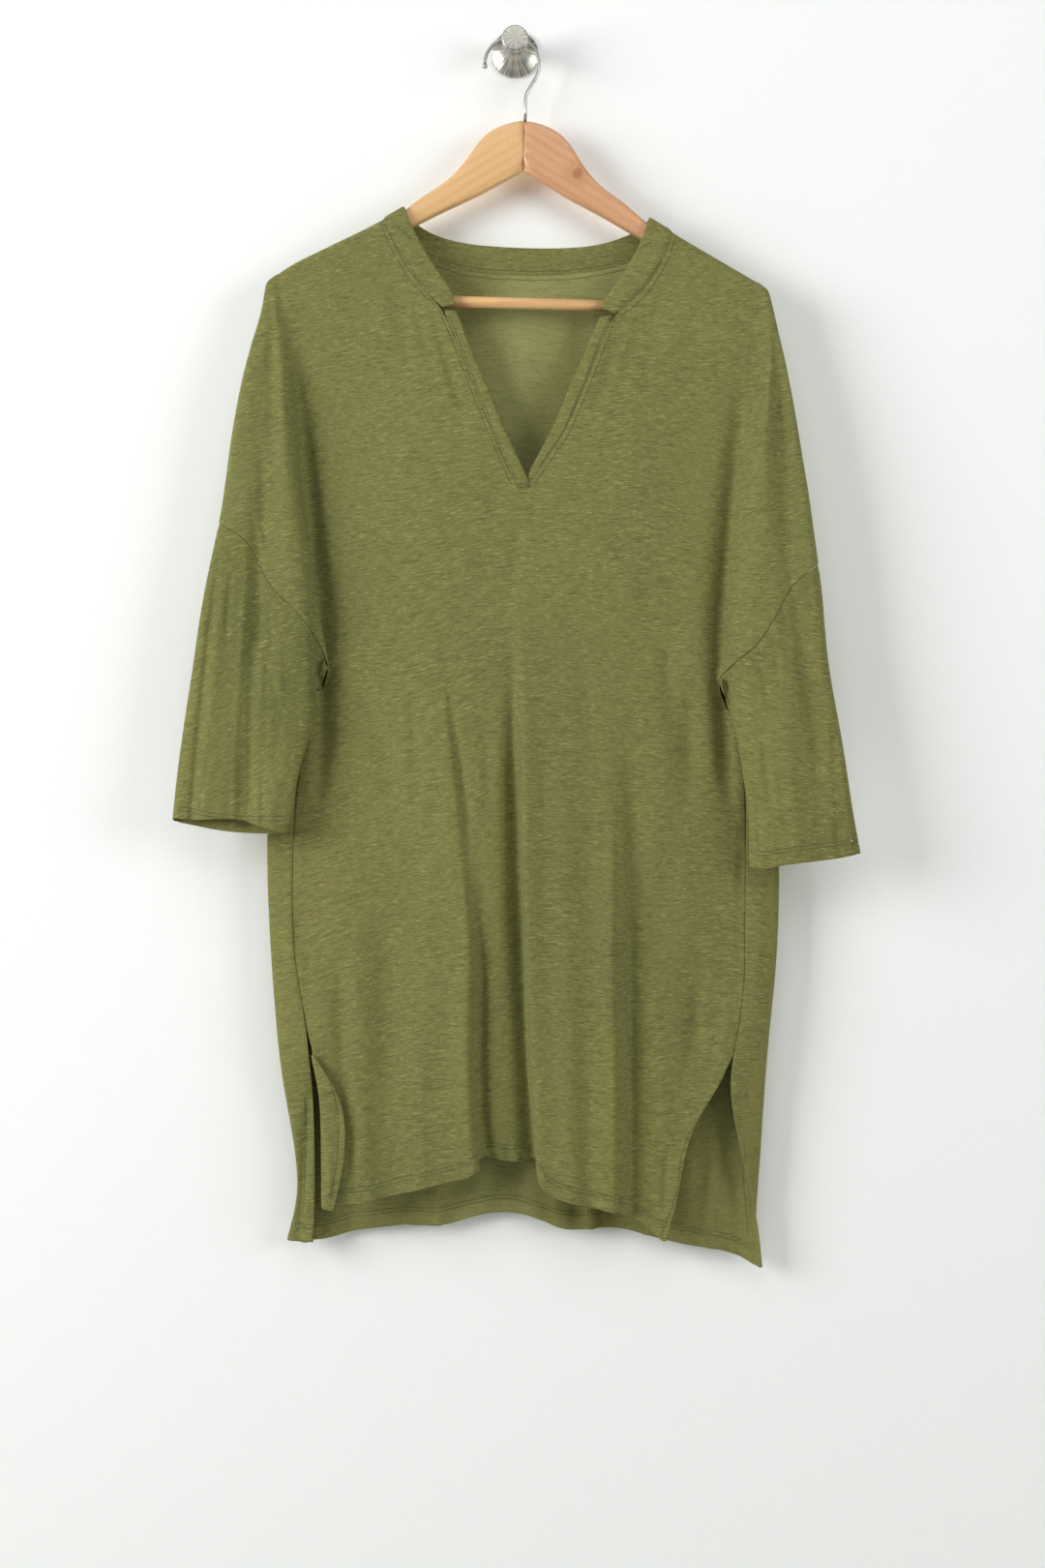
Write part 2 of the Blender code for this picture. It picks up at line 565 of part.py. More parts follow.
def front_columns():
    """Places across the front as pairs: guide line to the left, and the way of finding x."""
    columns = []
    middles = (7, 1, 2, 6)
    for guide in range(4):
        left_offsets = FOLD_OFFSETS if guide > 0 else ()
        right_offsets = tuple(reversed(FOLD_OFFSETS)) if guide < 3 else ()
        columns.append((guide, "left", 0.0))
        columns.extend((guide, "left", offset) for offset in left_offsets)
        count = middles[guide]
        columns.extend((guide, "middle", (i + 1) / (count + 1)) for i in range(count))
        columns.extend((guide, "right", offset) for offset in right_offsets)
    columns.append((4, "left", 0.0))
    return columns


def front_x(column, side, drop):
    guide, way, value = column
    here = guide_x(guide, side, drop)
    if guide == 4:
        return here
    after = guide_x(guide + 1, side, drop)
    widest = FOLD_OFFSETS[-1]
    scale = min(1.0, 0.4 * (after - here) / widest)
    if way == "left":
        return here + value * scale
    if way == "right":
        return after - value * scale
    start = here + (widest * scale if guide > 0 else 0.0)
    end = after - (widest * scale if guide < 3 else 0.0)
    return mix(start, end, value)


def front_across(column):
    """The same place as one number, whole at the guide lines, for the hem and the rows."""
    guide, way, value = column
    share = 0.3 * value / FOLD_OFFSETS[-1]
    if way == "left":
        return guide + share
    if way == "right":
        return guide + 1.0 - share
    start = 0.3 if guide > 0 else 0.0
    end = 0.7 if guide < 3 else 1.0
    return guide + mix(start, end, value)


def front_levels():
    """Each row's drop at the outer edges and at the neck or middle."""
    rows = rows_of(FRONT_ROWS)
    names = ("edge_left", "inner_left", "inner_right", "edge_right")
    levels = []
    for before, after in zip(rows, rows[1:]):
        for step in range(after["steps"]):
            if before is rows[0]:
                share = CAP_STEPS[step] / CAP_STEPS[-1]
            else:
                share = step / after["steps"]
            levels.append({name: mix(before[name], after[name], share) for name in names})
    levels.append({name: rows[-1][name] for name in names})
    return levels


def front_point(column, side, drop):
    across = front_across(column)
    x = front_x(column, side, drop)
    guide = min(3, int(across))
    share = 0.5 - 0.5 * math.cos(math.pi * (across - guide))
    out = mix(guide_out(guide, drop), guide_out(guide + 1, drop), share)
    shift, lift = fold_shift(x, drop, side)
    out += lift - valleys(FRONT_VALLEYS, x, drop)
    return x + shift, over_arm(x, drop, out), drop


def front_half(side):
    """Rows of points for one half of the front, from its outer edge to the middle or the other way."""
    columns = [c for c in front_columns() if (front_across(c) <= 2.0) == (side == "left")
               or front_across(c) == 2.0]
    levels = front_levels()
    last = len(levels) - 1
    grid = []
    for number, level in enumerate(levels):
        row = []
        for column in columns:
            across = front_across(column)
            inward = across / 2.0 if side == "left" else (4.0 - across) / 2.0
            drop = mix(level["edge_" + side], level["inner_" + side], inward)
            top_x = front_x(column, side, levels[0]["inner_" + side])
            top_line = read(RIDGE, "x", "drop", top_x)
            straight_top = mix(levels[0]["edge_" + side], levels[0]["inner_" + side], inward)
            straight_low = mix(levels[last]["edge_" + side], levels[last]["inner_" + side], inward)
            near_top = max(0.0, 1.0 - (number - len(CAP_STEPS) + 1) / 7.0) if number >= len(CAP_STEPS) else 1.0
            drop += (top_line - straight_top) * near_top
            hem = read(FRONT_HEM, "across", "drop", across)
            drop += (hem - straight_low) * ease((number / last - 0.3) / 0.7)
            if number < len(CAP_STEPS):
                ridge = settle_on_ridge(column, side)
                drop = ridge + CAP_STEPS[number]
            x, out, drop = front_point(column, side, drop)
            if number == 0:
                out += 0.5 * SEAM_GAP + 0.15
            row.append(place(x, out, drop))
        grid.append(row)
    return grid


def settle_on_ridge(column, side):
    """The drop at which a column meets the top line."""
    drop = 190.0
    for _ in range(12):
        drop = read(RIDGE, "x", "drop", front_x(column, side, drop))
    return drop


# The cloth over each arm end, in front and behind

OVERARM_GAP = 0.4
WING_TURN_WIDE = 4.0
WING_TURN_DEEP = 6.0
TIP_FALL = 2.5
BACK_WING_TURN = (0.0, 20.0, 50.0, 90.0)
BACK_WING_COLUMNS = (0.25, 0.5, 0.75)
WING_STATIONS = (0.0, 0.06, 0.15, 0.7, 0.92, 1.0)
WING_COLUMNS = (0.0, 0.06, 0.15, 0.25, 0.33, 0.39, 0.45, 0.57, 0.7, 0.83, 0.92, 0.96, 1.0)


def arm_tables(side):
    if side == "left":
        return OVERARM_LEFT, LOBE_LEFT, UNDERARM_LEFT, GROOVE_LEFT, ARMHOLE_LIFT_LEFT
    return OVERARM_RIGHT, LOBE_RIGHT, UNDERARM_RIGHT, GROOVE_RIGHT, ARMHOLE_LIFT_RIGHT


def groove(side, x, drop):
    table = arm_tables(side)[3]
    middle = read(table, "drop", "x", drop)
    return read(table, "drop", "depth", drop) * math.exp(-((x - middle) / GROOVE_WIDTH) ** 2)


def wing_shares(side, edge_rows):
    """For each row: how far it is from the tip to the underarm, and how much of the cap it is past."""
    first = -edge_rows[0].z / MM
    span = ARM_SPANS[side]
    for edge in edge_rows:
        below = -edge.z / MM - first
        share = min(1.0, below / (span["underarm"] - first))
        past = min(1.0, below / CAP_RADIUS)
        cap = math.sqrt(1.0 - (1.0 - past) ** 2)
        outer_drop = mix(span["tip"], span["armhole"] - TIP_FALL, share) + TIP_FALL * cap * cap
        yield edge, share, cap, outer_drop


def front_section(outer, lobe, inner, full_out):
    """The cut across an arm's front: up from the outer line, across, and round the inner fold."""
    xs = (outer[0], mix(outer[0], lobe[0], 0.008), mix(outer[0], lobe[0], 0.06),
          mix(outer[0], lobe[0], 0.8), lobe[0], inner[0])
    outs = (outer[1], mix(outer[1], full_out, 0.4), mix(outer[1], full_out, 0.75),
            full_out, lobe[1], inner[1])
    return curve_through(WING_STATIONS, xs), curve_through(WING_STATIONS, outs)


def back_section(across, outer_out, turn_deep, stations, outs):
    """Places along the cut across an arm's back, as reach from the outer line and out."""
    turn_wide = min(WING_TURN_WIDE, 0.35 * across)
    out_curve = curve_through(stations, outs)
    points = []
    for degrees in BACK_WING_TURN:
        angle = math.radians(degrees)
        points.append((turn_wide * (1.0 - math.cos(angle)), outer_out - turn_deep * math.sin(angle)))
    for s in BACK_WING_COLUMNS:
        points.append((mix(turn_wide, across, s), out_curve(s)))
    return points


def front_wing(side, edge_rows):
    """From the arm's outer line to the panel's edge. edge_rows are the panel's own points there."""
    overarm, lobe, _, _, lift = arm_tables(side)
    grid = []
    for edge, share, cap, outer_drop in wing_shares(side, edge_rows):
        valley_x, valley_out, valley_drop = edge.x / MM, -edge.y / MM, -edge.z / MM
        outer_x = read(overarm, "drop", "x", outer_drop)
        outer_out = read(overarm, "drop", "out", outer_drop) + OVERARM_GAP
        lobe_x = read(lobe, "drop", "x", valley_drop)
        lobe_out = mix(valley_out, read(lobe, "drop", "out", valley_drop), cap)
        full_out = mix(mix(outer_out, valley_out, 0.8), read(LOBE_OUT, "share", "out", share), cap)
        x_curve, out_curve = front_section((outer_x, outer_out), (lobe_x, lobe_out),
                                           (valley_x, valley_out), full_out)
        row = []
        for number, s in enumerate(WING_COLUMNS[:-1]):
            even_x = mix(outer_x, valley_x, number / (len(WING_COLUMNS) - 1))
            x, out = mix(even_x, x_curve(s), cap), out_curve(s)
            along = min(1.0, abs(x - outer_x) / max(0.1, abs(valley_x - outer_x)))
            drop = mix(outer_drop, valley_drop, along) - read(lift, "share", "lift", along) * share ** 2
            groove_depth = groove(side, x, drop) * cap * ease(s / 0.12)
            row.append(place(x, out - groove_depth, drop))
        row.append(edge.copy())
        grid.append(row)
    return grid


def back_wing(side, edge_rows):
    """From the arm's outer line, round a small curve, to the back panel's edge."""
    overarm = arm_tables(side)[0]
    grid = []
    for edge, share, cap, outer_drop in wing_shares(side, edge_rows):
        inner_x, inner_out, inner_drop = edge.x / MM, -edge.y / MM, -edge.z / MM
        outer_x = read(overarm, "drop", "x", outer_drop)
        outer_out = read(overarm, "drop", "out", outer_drop) - OVERARM_GAP
        across = abs(inner_x - outer_x)
        turn_deep = min(WING_TURN_DEEP, 0.63 * max(0.0, outer_out - inner_out))
        low_out = outer_out - turn_deep
        at_seam = ease((share - 0.5) / 0.5)
        near_out = mix(mix(low_out, inner_out, 0.4), low_out + 0.5, at_seam)
        middle_out = mix(mix(low_out, inner_out, 0.8), low_out - 1.0, at_seam)
        points = back_section(across, outer_out, turn_deep, (0.0, 0.4, 0.8, 1.0),
                              (low_out, near_out, middle_out, inner_out))
        row = []
        for number, (reach, out) in enumerate(points):
            along = mix(number / len(points), reach / across, cap)
            drop = mix(outer_drop, inner_drop, along)
            drop -= read(ARMHOLE_LIFT_BACK, "share", "lift", along) * share ** 2
            row.append(place(mix(outer_x, inner_x, along), out, drop))
        row.append(edge.copy())
        grid.append(row)
    return grid




# The strip flipped outwards along the left slit

def slit_flap(edge_rows):
    grid = []
    for edge in edge_rows:
        drop = -edge.z / MM
        radius = flap_radius(drop)
        reach = read(FLAP_LEFT, "drop", "reach", drop)
        flat = max(0.0, reach - radius)
        x, out = edge.x / MM, -edge.y / MM
        row = [edge.copy()]
        for angle in (60.0, 120.0, 180.0):
            turn = math.radians(angle)
            row.append(place(x - radius * math.sin(turn), out + radius * (1.0 - math.cos(turn)), drop))
        for share in (0.5, 1.0):
            row.append(place(x + flat * share, out + 2.0 * radius + 0.6 * share, drop + 2.0 * share))
        grid.append(row)
    return grid


# The back panel

SIDE_STEPS = 5
SIDE_GAP = 0.7


def back_side_point(side, share, drop):
    """From the side seam, round the outermost line, to where the back lies flat."""
    if side == "left":
        tables = (BACK_EDGE_LEFT, BACK_OUTER_LEFT, BACK_FLAT_LEFT)
    else:
        tables = (BACK_EDGE_RIGHT, BACK_OUTER_RIGHT, BACK_FLAT_RIGHT)
    xs = [read(table, "drop", "x", drop) for table in tables]
    outs = [read(table, "drop", "out", drop) for table in tables]
    seam_shift = SIDE_GAP if side == "right" else -SIDE_GAP
    x = curve_through((0.0, 0.5, 1.0), (xs[0] + seam_shift, xs[1], xs[2]))(share)
    level = ease((drop - ARM_SPANS[side]["underarm"] + 22.0) / 20.0) * ease((SLIT_TOP + 20.0 - drop) / 30.0)
    near_out = mix(mix(outs[0], outs[1], 0.4), outs[0], level)
    out = curve_through((0.0, 0.2, 0.5, 1.0), (outs[0], near_out, outs[1], outs[2]))(share)
    bulge = 3.0 * math.sin(2.0 * math.pi * min(0.5, max(0.0, share - 0.2))) * ease((drop - 600.0) / 80.0)
    return x, out + bulge * ease((1000.0 - drop) / 80.0)


def back_columns():
    columns = [("left", i / SIDE_STEPS) for i in range(SIDE_STEPS)]
    columns += [("left neck", i / 4.0) for i in range(4)]
    first, last = NECK_BACK[1][0], NECK_BACK[-1][0]
    columns += [("neck", (row["x"] - first) / (last - first)) for row in rows_of(NECK_BACK)[:-1]]
    columns += [("right neck", i / 4.0) for i in range(4)]
    columns += [("right", 1.0 - i / SIDE_STEPS) for i in range(SIDE_STEPS + 1)]
    return columns


def neck_guide(side, drop):
    """The line below each neck point, which spreads a little lower down."""
    first, last = (-120.0, -96.0) if side == "left" else (143.0, 118.0)
    return mix(first, last, ease((drop - 160.0) / 500.0))


def back_point(column, drop):
    zone, share = column
    if zone in ("left", "right"):
        x, out = back_side_point(zone, share, drop)
        return x, (out if drop > 300.0 else mix(over_arm(x, drop, out), out, ease((drop - 240.0) / 60.0)))
    left_x, left_out = back_side_point("left", 1.0, drop)
    right_x, right_out = back_side_point("right", 1.0, drop)
    left_neck, right_neck = neck_guide("left", drop), neck_guide("right", drop)
    if zone == "left neck":
        x, out = mix(left_x, left_neck, share), mix(left_out, BACK_OUT, ease(share))
    elif zone == "neck":
        x, out = mix(left_neck, right_neck, share), BACK_OUT
    else:
        x, out = mix(right_neck, right_x, share), mix(BACK_OUT, right_out, ease(share))
    inner = ease((x - left_x) / 30.0) * ease((right_x - x) / 30.0)
    return x, back_out(x, drop, out - inner * valleys(BACK_VALLEYS, x, drop))


def back_top(column):
    """The drop of the panel's top edge: over the arms, and along the neck seam between them."""
    drop = 200.0
    for _ in range(14):
        x = back_point(column, drop)[0]
        if -120.0 < x < 143.0:
            drop = read(NECK_BACK, "x", "drop", x)
        else:
            drop = read(RIDGE, "x", "drop", x)
    return drop


def back_grid():
    columns = back_columns()
    rows = rows_of(BACK_ROWS)
    levels = []
    for before, after in zip(rows, rows[1:]):
        for step in range(after["steps"]):
            share = CAP_STEPS[step] / CAP_STEPS[-1] if before is rows[0] else step / after["steps"]
            levels.append({name: mix(before[name], after[name], share)
                           for name in ("edge_left", "edge_right")})
    levels.append(rows[-1])
    last = len(levels) - 1
    tops = [back_top(column) for column in columns]
    grid = []
    for number, level in enumerate(levels):
        row = []
        for index, column in enumerate(columns):
            across = index / (len(columns) - 1)
            if number < len(CAP_STEPS):
                steps = NECK_STEPS if column[0] == "neck" and column[1] > 0.0 else CAP_STEPS
                drop = tops[index] + steps[number]
            else:
                straight = mix(level["edge_left"], level["edge_right"], across)
                cap_row = mix(rows[1]["edge_left"], rows[1]["edge_right"], across)
                fade = max(0.0, 1.0 - (number - len(CAP_STEPS) + 1) / 8.0)
                drop = straight + (tops[index] + CAP_STEPS[-1] - cap_row) * fade
            low_x = back_point(column, 1086.0)[0]
            hem = read(BACK_HEM, "x", "drop", low_x)
            straight_low = mix(levels[last]["edge_left"], levels[last]["edge_right"], across)
            drop += (hem - straight_low) * ease((number / last - 0.3) / 0.7)
            x, out = back_point(column, drop)
            if number < len(CAP_STEPS) and -119.0 < x < 142.0:
                drop += 1.5 * SEAM_GAP
            elif number == 0:
                out -= 0.5 * SEAM_GAP + 0.15
            row.append(place(x, out, drop))
        grid.append(row)
    return grid


# The sleeves, each a tube from the armhole seam to the cuff

def sleeve_grid(side, front_seam, back_seam):
    """Rows of rings. The first ring follows the armhole edges of the front and back panels."""
    overarm, _, underarm, _, _ = arm_tables(side)
    span = ARM_SPANS[side]
    sag = CUFF_SAG_LEFT if side == "left" else CUFF_SAG_RIGHT
    ring = [("front", number, point) for number, point in enumerate(front_seam)]
    back_points = list(enumerate(back_seam))[1:-1]
    ring += [("back", number, point) for number, point in reversed(back_points)]
    first_x = read(overarm, "drop", "x", span["armhole"])
    last_x = front_seam[-1].x / MM
    last = len(front_seam) - 1
    grid = []
    for row_number in range(SLEEVE_ROWS + 1):
        t = row_number / SLEEVE_ROWS
        outer_drop = mix(span["armhole"], span["cuff"], t)
        inner_drop = mix(span["underarm"], span["inner_cuff"], t)
        outer_x = read(overarm, "drop", "x", outer_drop)
        outer_out = read(overarm, "drop", "out", outer_drop)
        inner_x = read(underarm, "drop", "x", inner_drop)
        across = abs(inner_x - outer_x)
        full = mix(read(LOBE_OUT, "share", "out", 1.0), SLEEVE_OUT, ease(t * 2.0))
        inner_fold = (INNER_FOLD_WIDE / across, full - INNER_FOLD_DEEP)
        share_curve, front_curve = front_section((0.0, outer_out), (1.0 - inner_fold[0], inner_fold[1]),
                                                 (1.0, INNER_FRONT_OUT), full)
        back_points = back_section(across, outer_out, outer_out - SLEEVE_BACK_OUT, (0.0, 1.0),
                                   (SLEEVE_BACK_OUT, INNER_BACK_OUT))
        leave = ease(t * 5.0)
        row = []
        for index, (part, number, point) in enumerate(ring):
            seam_x, seam_out, seam_drop = point.x / MM, -point.y / MM, -point.z / MM
            seam_share = (seam_x - first_x) / (last_x - first_x)
            straight = mix(span["armhole"], span["underarm"], min(1.0, seam_share))
            if part == "front":
                even = share_curve(WING_COLUMNS[number])
                even_out = front_curve(WING_COLUMNS[number])
            else:
                even = back_points[number][0] / across
                even_out = back_points[number][1]
            share = mix(seam_share, even, leave)
            x = mix(outer_x, inner_x, share)
            share = min(1.0, share)
            drop = mix(outer_drop, inner_drop, share) + (seam_drop - straight) * (1.0 - t) ** 1.6
            drop += read(sag, "share", part, share) * t ** 2
            near_seam = seam_out + (UNDERARM_CLEAR if index == last else 0.0)
            out = mix(near_seam, even_out, leave)
            if part == "front":
                out -= groove(side, x, drop) * leave
            shift = 2.0 * SEAM_GAP if part == "front" else 3.0 * SEAM_GAP
            row.append(place(x, out, drop + shift * (1.0 - t)))
        grid.append(row)
    return grid


# The collar band and the two plackets

BAND_COLUMNS = 4
FRONT_OUT = 36.0


def band_grid():
    """Rows run along the band from its left front end, over the shoulders, to its right end."""
    rows = []
    left = [(x, drop, free_x, free_drop) for drop, x, free_drop, free_x in NECK_LEFT[1:]]
    right = [(x, drop, free_x, free_drop) for drop, x, free_drop, free_x in NECK_RIGHT[1:]]
    path = [("front", *row) for row in reversed(closer_at_ridge(left))]
    path += [("back", *row) for row in NECK_BACK[2:-1]]
    path += [("front", *row) for row in closer_at_ridge(right)]
    for part, seam_x, seam_drop, free_x, free_drop in path:
        row = []
        span = math.hypot(free_x - seam_x, free_drop - seam_drop)
        for number in range(BAND_COLUMNS + 1):
            share = mix(2.0 * SEAM_GAP / span, 1.0, number / BAND_COLUMNS)
            x, drop = mix(seam_x, free_x, share), mix(seam_drop, free_drop, share)
            if part == "front":
                full = mix(FRONT_OUT, 42.0, ease((drop - 165.0) / 80.0))
                out = over_arm(x, drop, full)
            else:
                out = back_out(x, drop, BACK_OUT)
            row.append(place(x, out, drop))
        rows.append(row)
    return rows


def closer_at_ridge(rows):
    """Adds a row between the ridge and the next one on the front."""
    between = tuple(mix(a, b, 0.43) for a, b in zip(rows[0], rows[1]))
    return [rows[0], between] + list(rows[1:])


def placket_grid(side):
    table = V_LEFT if side == "left" else V_RIGHT
    first, last = table[1][0], table[-1][0]
    steps = 10
    grid = []
    for number in range(steps + 1):
        drop = mix(first + 1.6, last, number / steps)
        lift = PLACKET_LIFT * ease((drop - PLACKET_LIFT_START) / 70.0) if side == "left" else 0.0
        seam_x = read(table, "drop", "x", drop)
        free_x = read(table, "drop", "free_x", drop)
        toward = 3.0 * SEAM_GAP * (1.0 if free_x > seam_x else -1.0)
        out = mix(36.0, 42.0, ease((drop - 165.0) / 80.0)) + lift
        row = []
        for share in (0.0, 0.5, 1.0):
            x = mix(seam_x + toward, free_x, share)
            row.append(place(x, out, drop))
        grid.append(row)
    return grid


# Building

def clear_scene():
    for item in list(bpy.data.objects):
        bpy.data.objects.remove(item, do_unlink=True)


def material(name, colour, roughness, metallic=0.0):
    made = bpy.data.materials.new(name)
    made.use_nodes = True
    shader = made.node_tree.nodes["Principled BSDF"]
    shader.inputs["Base Color"].default_value = (*colour, 1.0)
    shader.inputs["Roughness"].default_value = roughness
    shader.inputs["Metallic"].default_value = metallic
    return made


def add_grid(mesh, grid, flip, closed=False):
    """Adds a grid of points to a mesh being built, facing the viewer unless flipped."""
    verts = [[mesh.verts.new(point) for point in row] for row in grid]
    for upper, lower in zip(verts, verts[1:]):
        count = len(lower)
        if len(upper) == 1:
            upper = upper * count
        for i in range(count if closed else count - 1):
            j = (i + 1) % count
            corners = [upper[i], lower[i], lower[j]]
            if upper[j] is not upper[i]:
                corners.append(upper[j])
            if flip:
                corners.reverse()
            mesh.faces.new(corners)


def sheet(name, grids, thickness, finish, collection):
    """One piece of cloth: grids welded where they meet, and given its thickness inwards."""
    mesh = bmesh.new()
    for grid, flip, closed in grids:
        add_grid(mesh, grid, flip, closed)
    bmesh.ops.remove_doubles(mesh, verts=mesh.verts, dist=WELD * MM)
    bmesh.ops.dissolve_degenerate(mesh, edges=mesh.edges, dist=WELD * MM)
    loose = [vert for vert in mesh.verts if not vert.link_faces]
    bmesh.ops.delete(mesh, geom=loose, context="VERTS")
    data = bpy.data.meshes.new(name)
    mesh.to_mesh(data)
    mesh.free()
    piece = bpy.data.objects.new(name, data)
    data.materials.append(finish)
    collection.objects.link(piece)
    wall = piece.modifiers.new("Wall", "SOLIDIFY")
    wall.thickness = thickness * MM
    wall.offset = -1.0
    data.shade_smooth()
    return piece


def front_grids():
    left = front_half("left")
    right = front_half("right")
    underarm_row = sum(row["steps"] for row in rows_of(FRONT_ROWS)[:6])
    slit_row = sum(row["steps"] for row in rows_of(FRONT_ROWS)[:7])
    left_wing = front_wing("left", [row[0] for row in left[:underarm_row + 1]])
    right_wing = front_wing("right", [row[-1] for row in right[:underarm_row + 1]])
    flap = slit_flap([row[0] for row in left[slit_row:]])
    return left, right, left_wing, right_wing, flap


def back_grids():
    grid = back_grid()
    underarm_row = sum(row["steps"] for row in rows_of(BACK_ROWS)[:3])
    left_wing = back_wing("left", [row[0] for row in grid[:underarm_row + 1]])
    right_wing = back_wing("right", [row[-1] for row in grid[:underarm_row + 1]])
    return grid, left_wing, right_wing


def make_cloth(cloth, trim, collection):
    left, right, left_wing, right_wing, flap = front_grids()
    back, left_back_wing, right_back_wing = back_grids()
    front_parts = [(left, False, False), (right, False, False), (left_wing, False, False),
                   (right_wing, True, False), (flap, True, False)]
    back_parts = [(back, True, False), (left_back_wing, True, False), (right_back_wing, False, False)]
    sheet("front", front_parts, CLOTH, cloth, collection)
    sheet("back", back_parts, CLOTH, cloth, collection)
    left_tube = sleeve_grid("left", left_wing[-1], left_back_wing[-1])
    right_tube = sleeve_grid("right", right_wing[-1], right_back_wing[-1])
    sheet("sleeve_left", [(left_tube, False, True)], CLOTH, cloth, collection)
    sheet("sleeve_right", [(right_tube, True, True)], CLOTH, cloth, collection)
    sheet("neckband", [(band_grid(), False, False)], DOUBLE_CLOTH, trim, collection)
    sheet("placket_left", [(placket_grid("left"), False, False)], DOUBLE_CLOTH, trim, collection)
    sheet("placket_right", [(placket_grid("right"), True, False)], DOUBLE_CLOTH, trim, collection)


def make_hanger_arm(name, sign, finish, collection):
    """A loft of rounded rectangles along the arm, from the middle joint to the tip."""
    mesh = bmesh.new()
    loops = []
    reaches = [row["reach"] for row in rows_of(ARM)]
    for reach in reaches:
        top = read(ARM, "reach", "top", reach)
        bottom = read(ARM, "reach", "bottom", reach)
        half = 0.5 * HANGER_THICK * (0.75 if reach == reaches[-1] else 1.0)
        out = HANGER_OUT + HANGER_CURVE * (reach / 225.0) ** 2
        corner = min(WOOD_CORNER, half - 0.5)
        loop = []
        for centre_out, centre_drop, start in (
                (half - corner, top + corner, 0.0), (-half + corner, top + corner, 90.0),
                (-half + corner, bottom - corner, 180.0), (half - corner, bottom - corner, 270.0)):
            for angle in (0.0, 45.0, 90.0):
                turn = math.radians(start + angle)
                side = centre_out + corner * math.cos(turn)
                height = centre_drop - corner * math.sin(turn)
                along = max(reach, 0.5 * JOINT_GAP)
                loop.append(mesh.verts.new(hung(sign * along, out + side, height)))
        loops.append(loop)
    for first, second in zip(loops, loops[1:]):
        for i in range(len(first)):
            j = (i + 1) % len(first)
            mesh.faces.new([first[i], first[j], second[j], second[i]])
    mesh.faces.new(list(reversed(loops[0])))
    mesh.faces.new(loops[-1])
    bmesh.ops.recalc_face_normals(mesh, faces=mesh.faces)
    return solid(name, mesh, finish, collection)


def hung(along, out, drop):
    """A point of the level hanger, tilted about its middle joint and set in its place."""
    pivot = 67.0
    x = along * math.cos(HANGER_TILT) - (drop - pivot) * math.sin(HANGER_TILT)
    low = along * math.sin(HANGER_TILT) + (drop - pivot) * math.cos(HANGER_TILT)
    return place(HANGER_X + x, out, pivot + low)


def solid(name, mesh, finish, collection):
    data = bpy.data.meshes.new(name)
    mesh.to_mesh(data)
    mesh.free()
    piece = bpy.data.objects.new(name, data)
    data.materials.append(finish)
    collection.objects.link(piece)
    data.shade_smooth()
    data.set_sharp_from_angle(angle=math.radians(50.0))
    return piece


def make_bar(finish, collection):
    """The trouser bar, a round dowel between the heels of the two arms."""
    mesh = bmesh.new()
    ends = []
    bar_out = HANGER_OUT + HANGER_CURVE * (205.0 / 225.0) ** 2
    for along in (-BAR_HALF, BAR_HALF):
        loop = []
        for step in range(16):
            turn = 2.0 * math.pi * step / 16
            loop.append(mesh.verts.new(hung(along, bar_out + BAR_RADIUS * math.cos(turn),
                                            BAR_DROP + BAR_RADIUS * math.sin(turn))))
        ends.append(loop)
    for i in range(16):
        j = (i + 1) % 16
        mesh.faces.new([ends[0][i], ends[0][j], ends[1][j], ends[1][i]])
    mesh.faces.new(list(reversed(ends[0])))
    mesh.faces.new(ends[1])
    bmesh.ops.recalc_face_normals(mesh, faces=mesh.faces)
    return solid("hanger_bar", mesh, finish, collection)


def hook_route():
    """Centre line of the hook: a ring over the knob's neck, then a bend down to the wood."""
    centre_x = -2.9
    centre_drop = HOOK_RADIUS - KNOB_NECK - HOOK_WIRE - SEAM_GAP
    points = []
    for step in range(22):
        turn = math.radians(184.0 - 184.0 * step / 21)
        points.append((centre_x + HOOK_RADIUS * math.cos(turn), centre_drop - HOOK_RADIUS * math.sin(turn)))
    bend = rows_of(HOOK_BEND)
    points.extend((row["x"], row["drop"]) for row in bend)
    return points


HOOK_BEND = (
    ("x", "drop"),
    (21.3, 22.5), (19.9, 27.0), (17.9, 30.8), (15.4, 34.4), (13.2, 38.0), (11.2, 41.6),
    (9.9, 45.2), (9.4, 49.0), (9.3, 56.0), (9.2, 66.3),
)


def make_hook(finish, collection):
    points = hook_route()
    curve = bpy.data.curves.new("hook line", "CURVE")
    curve.dimensions = "3D"
    curve.bevel_depth = HOOK_WIRE * MM
    curve.bevel_resolution = 2
    curve.use_fill_caps = True
    line = curve.splines.new("POLY")
    line.points.add(len(points) - 1)
    for point, (x, drop) in zip(line.points, points):
        point.co = (*place(x, HANGER_OUT, drop), 1.0)
    guide = bpy.data.objects.new("hook line", curve)
    collection.objects.link(guide)
    made = bpy.data.meshes.new_from_object(guide.evaluated_get(bpy.context.evaluated_depsgraph_get()))
    bpy.data.objects.remove(guide, do_unlink=True)
    mesh = bmesh.new()
    mesh.from_mesh(made)
    bmesh.ops.remove_doubles(mesh, verts=mesh.verts, dist=WELD * MM)
    bmesh.ops.recalc_face_normals(mesh, faces=mesh.faces)
    wire = solid("hanger_hook", mesh, finish, collection)
    ball_mesh = bmesh.new()
    bmesh.ops.create_uvsphere(ball_mesh, u_segments=14, v_segments=9, radius=HOOK_BALL * MM)
    tip_x, tip_drop = points[0]
    bmesh.ops.translate(ball_mesh, verts=ball_mesh.verts, vec=place(tip_x, HANGER_OUT, tip_drop))
    ball = solid("hook ball", ball_mesh, finish, collection)
    ball.hide_render = True
    ball.display_type = "WIRE"
    union = wire.modifiers.new("Ball", "BOOLEAN")
    union.operation = "UNION"
    union.object = ball
    return wire


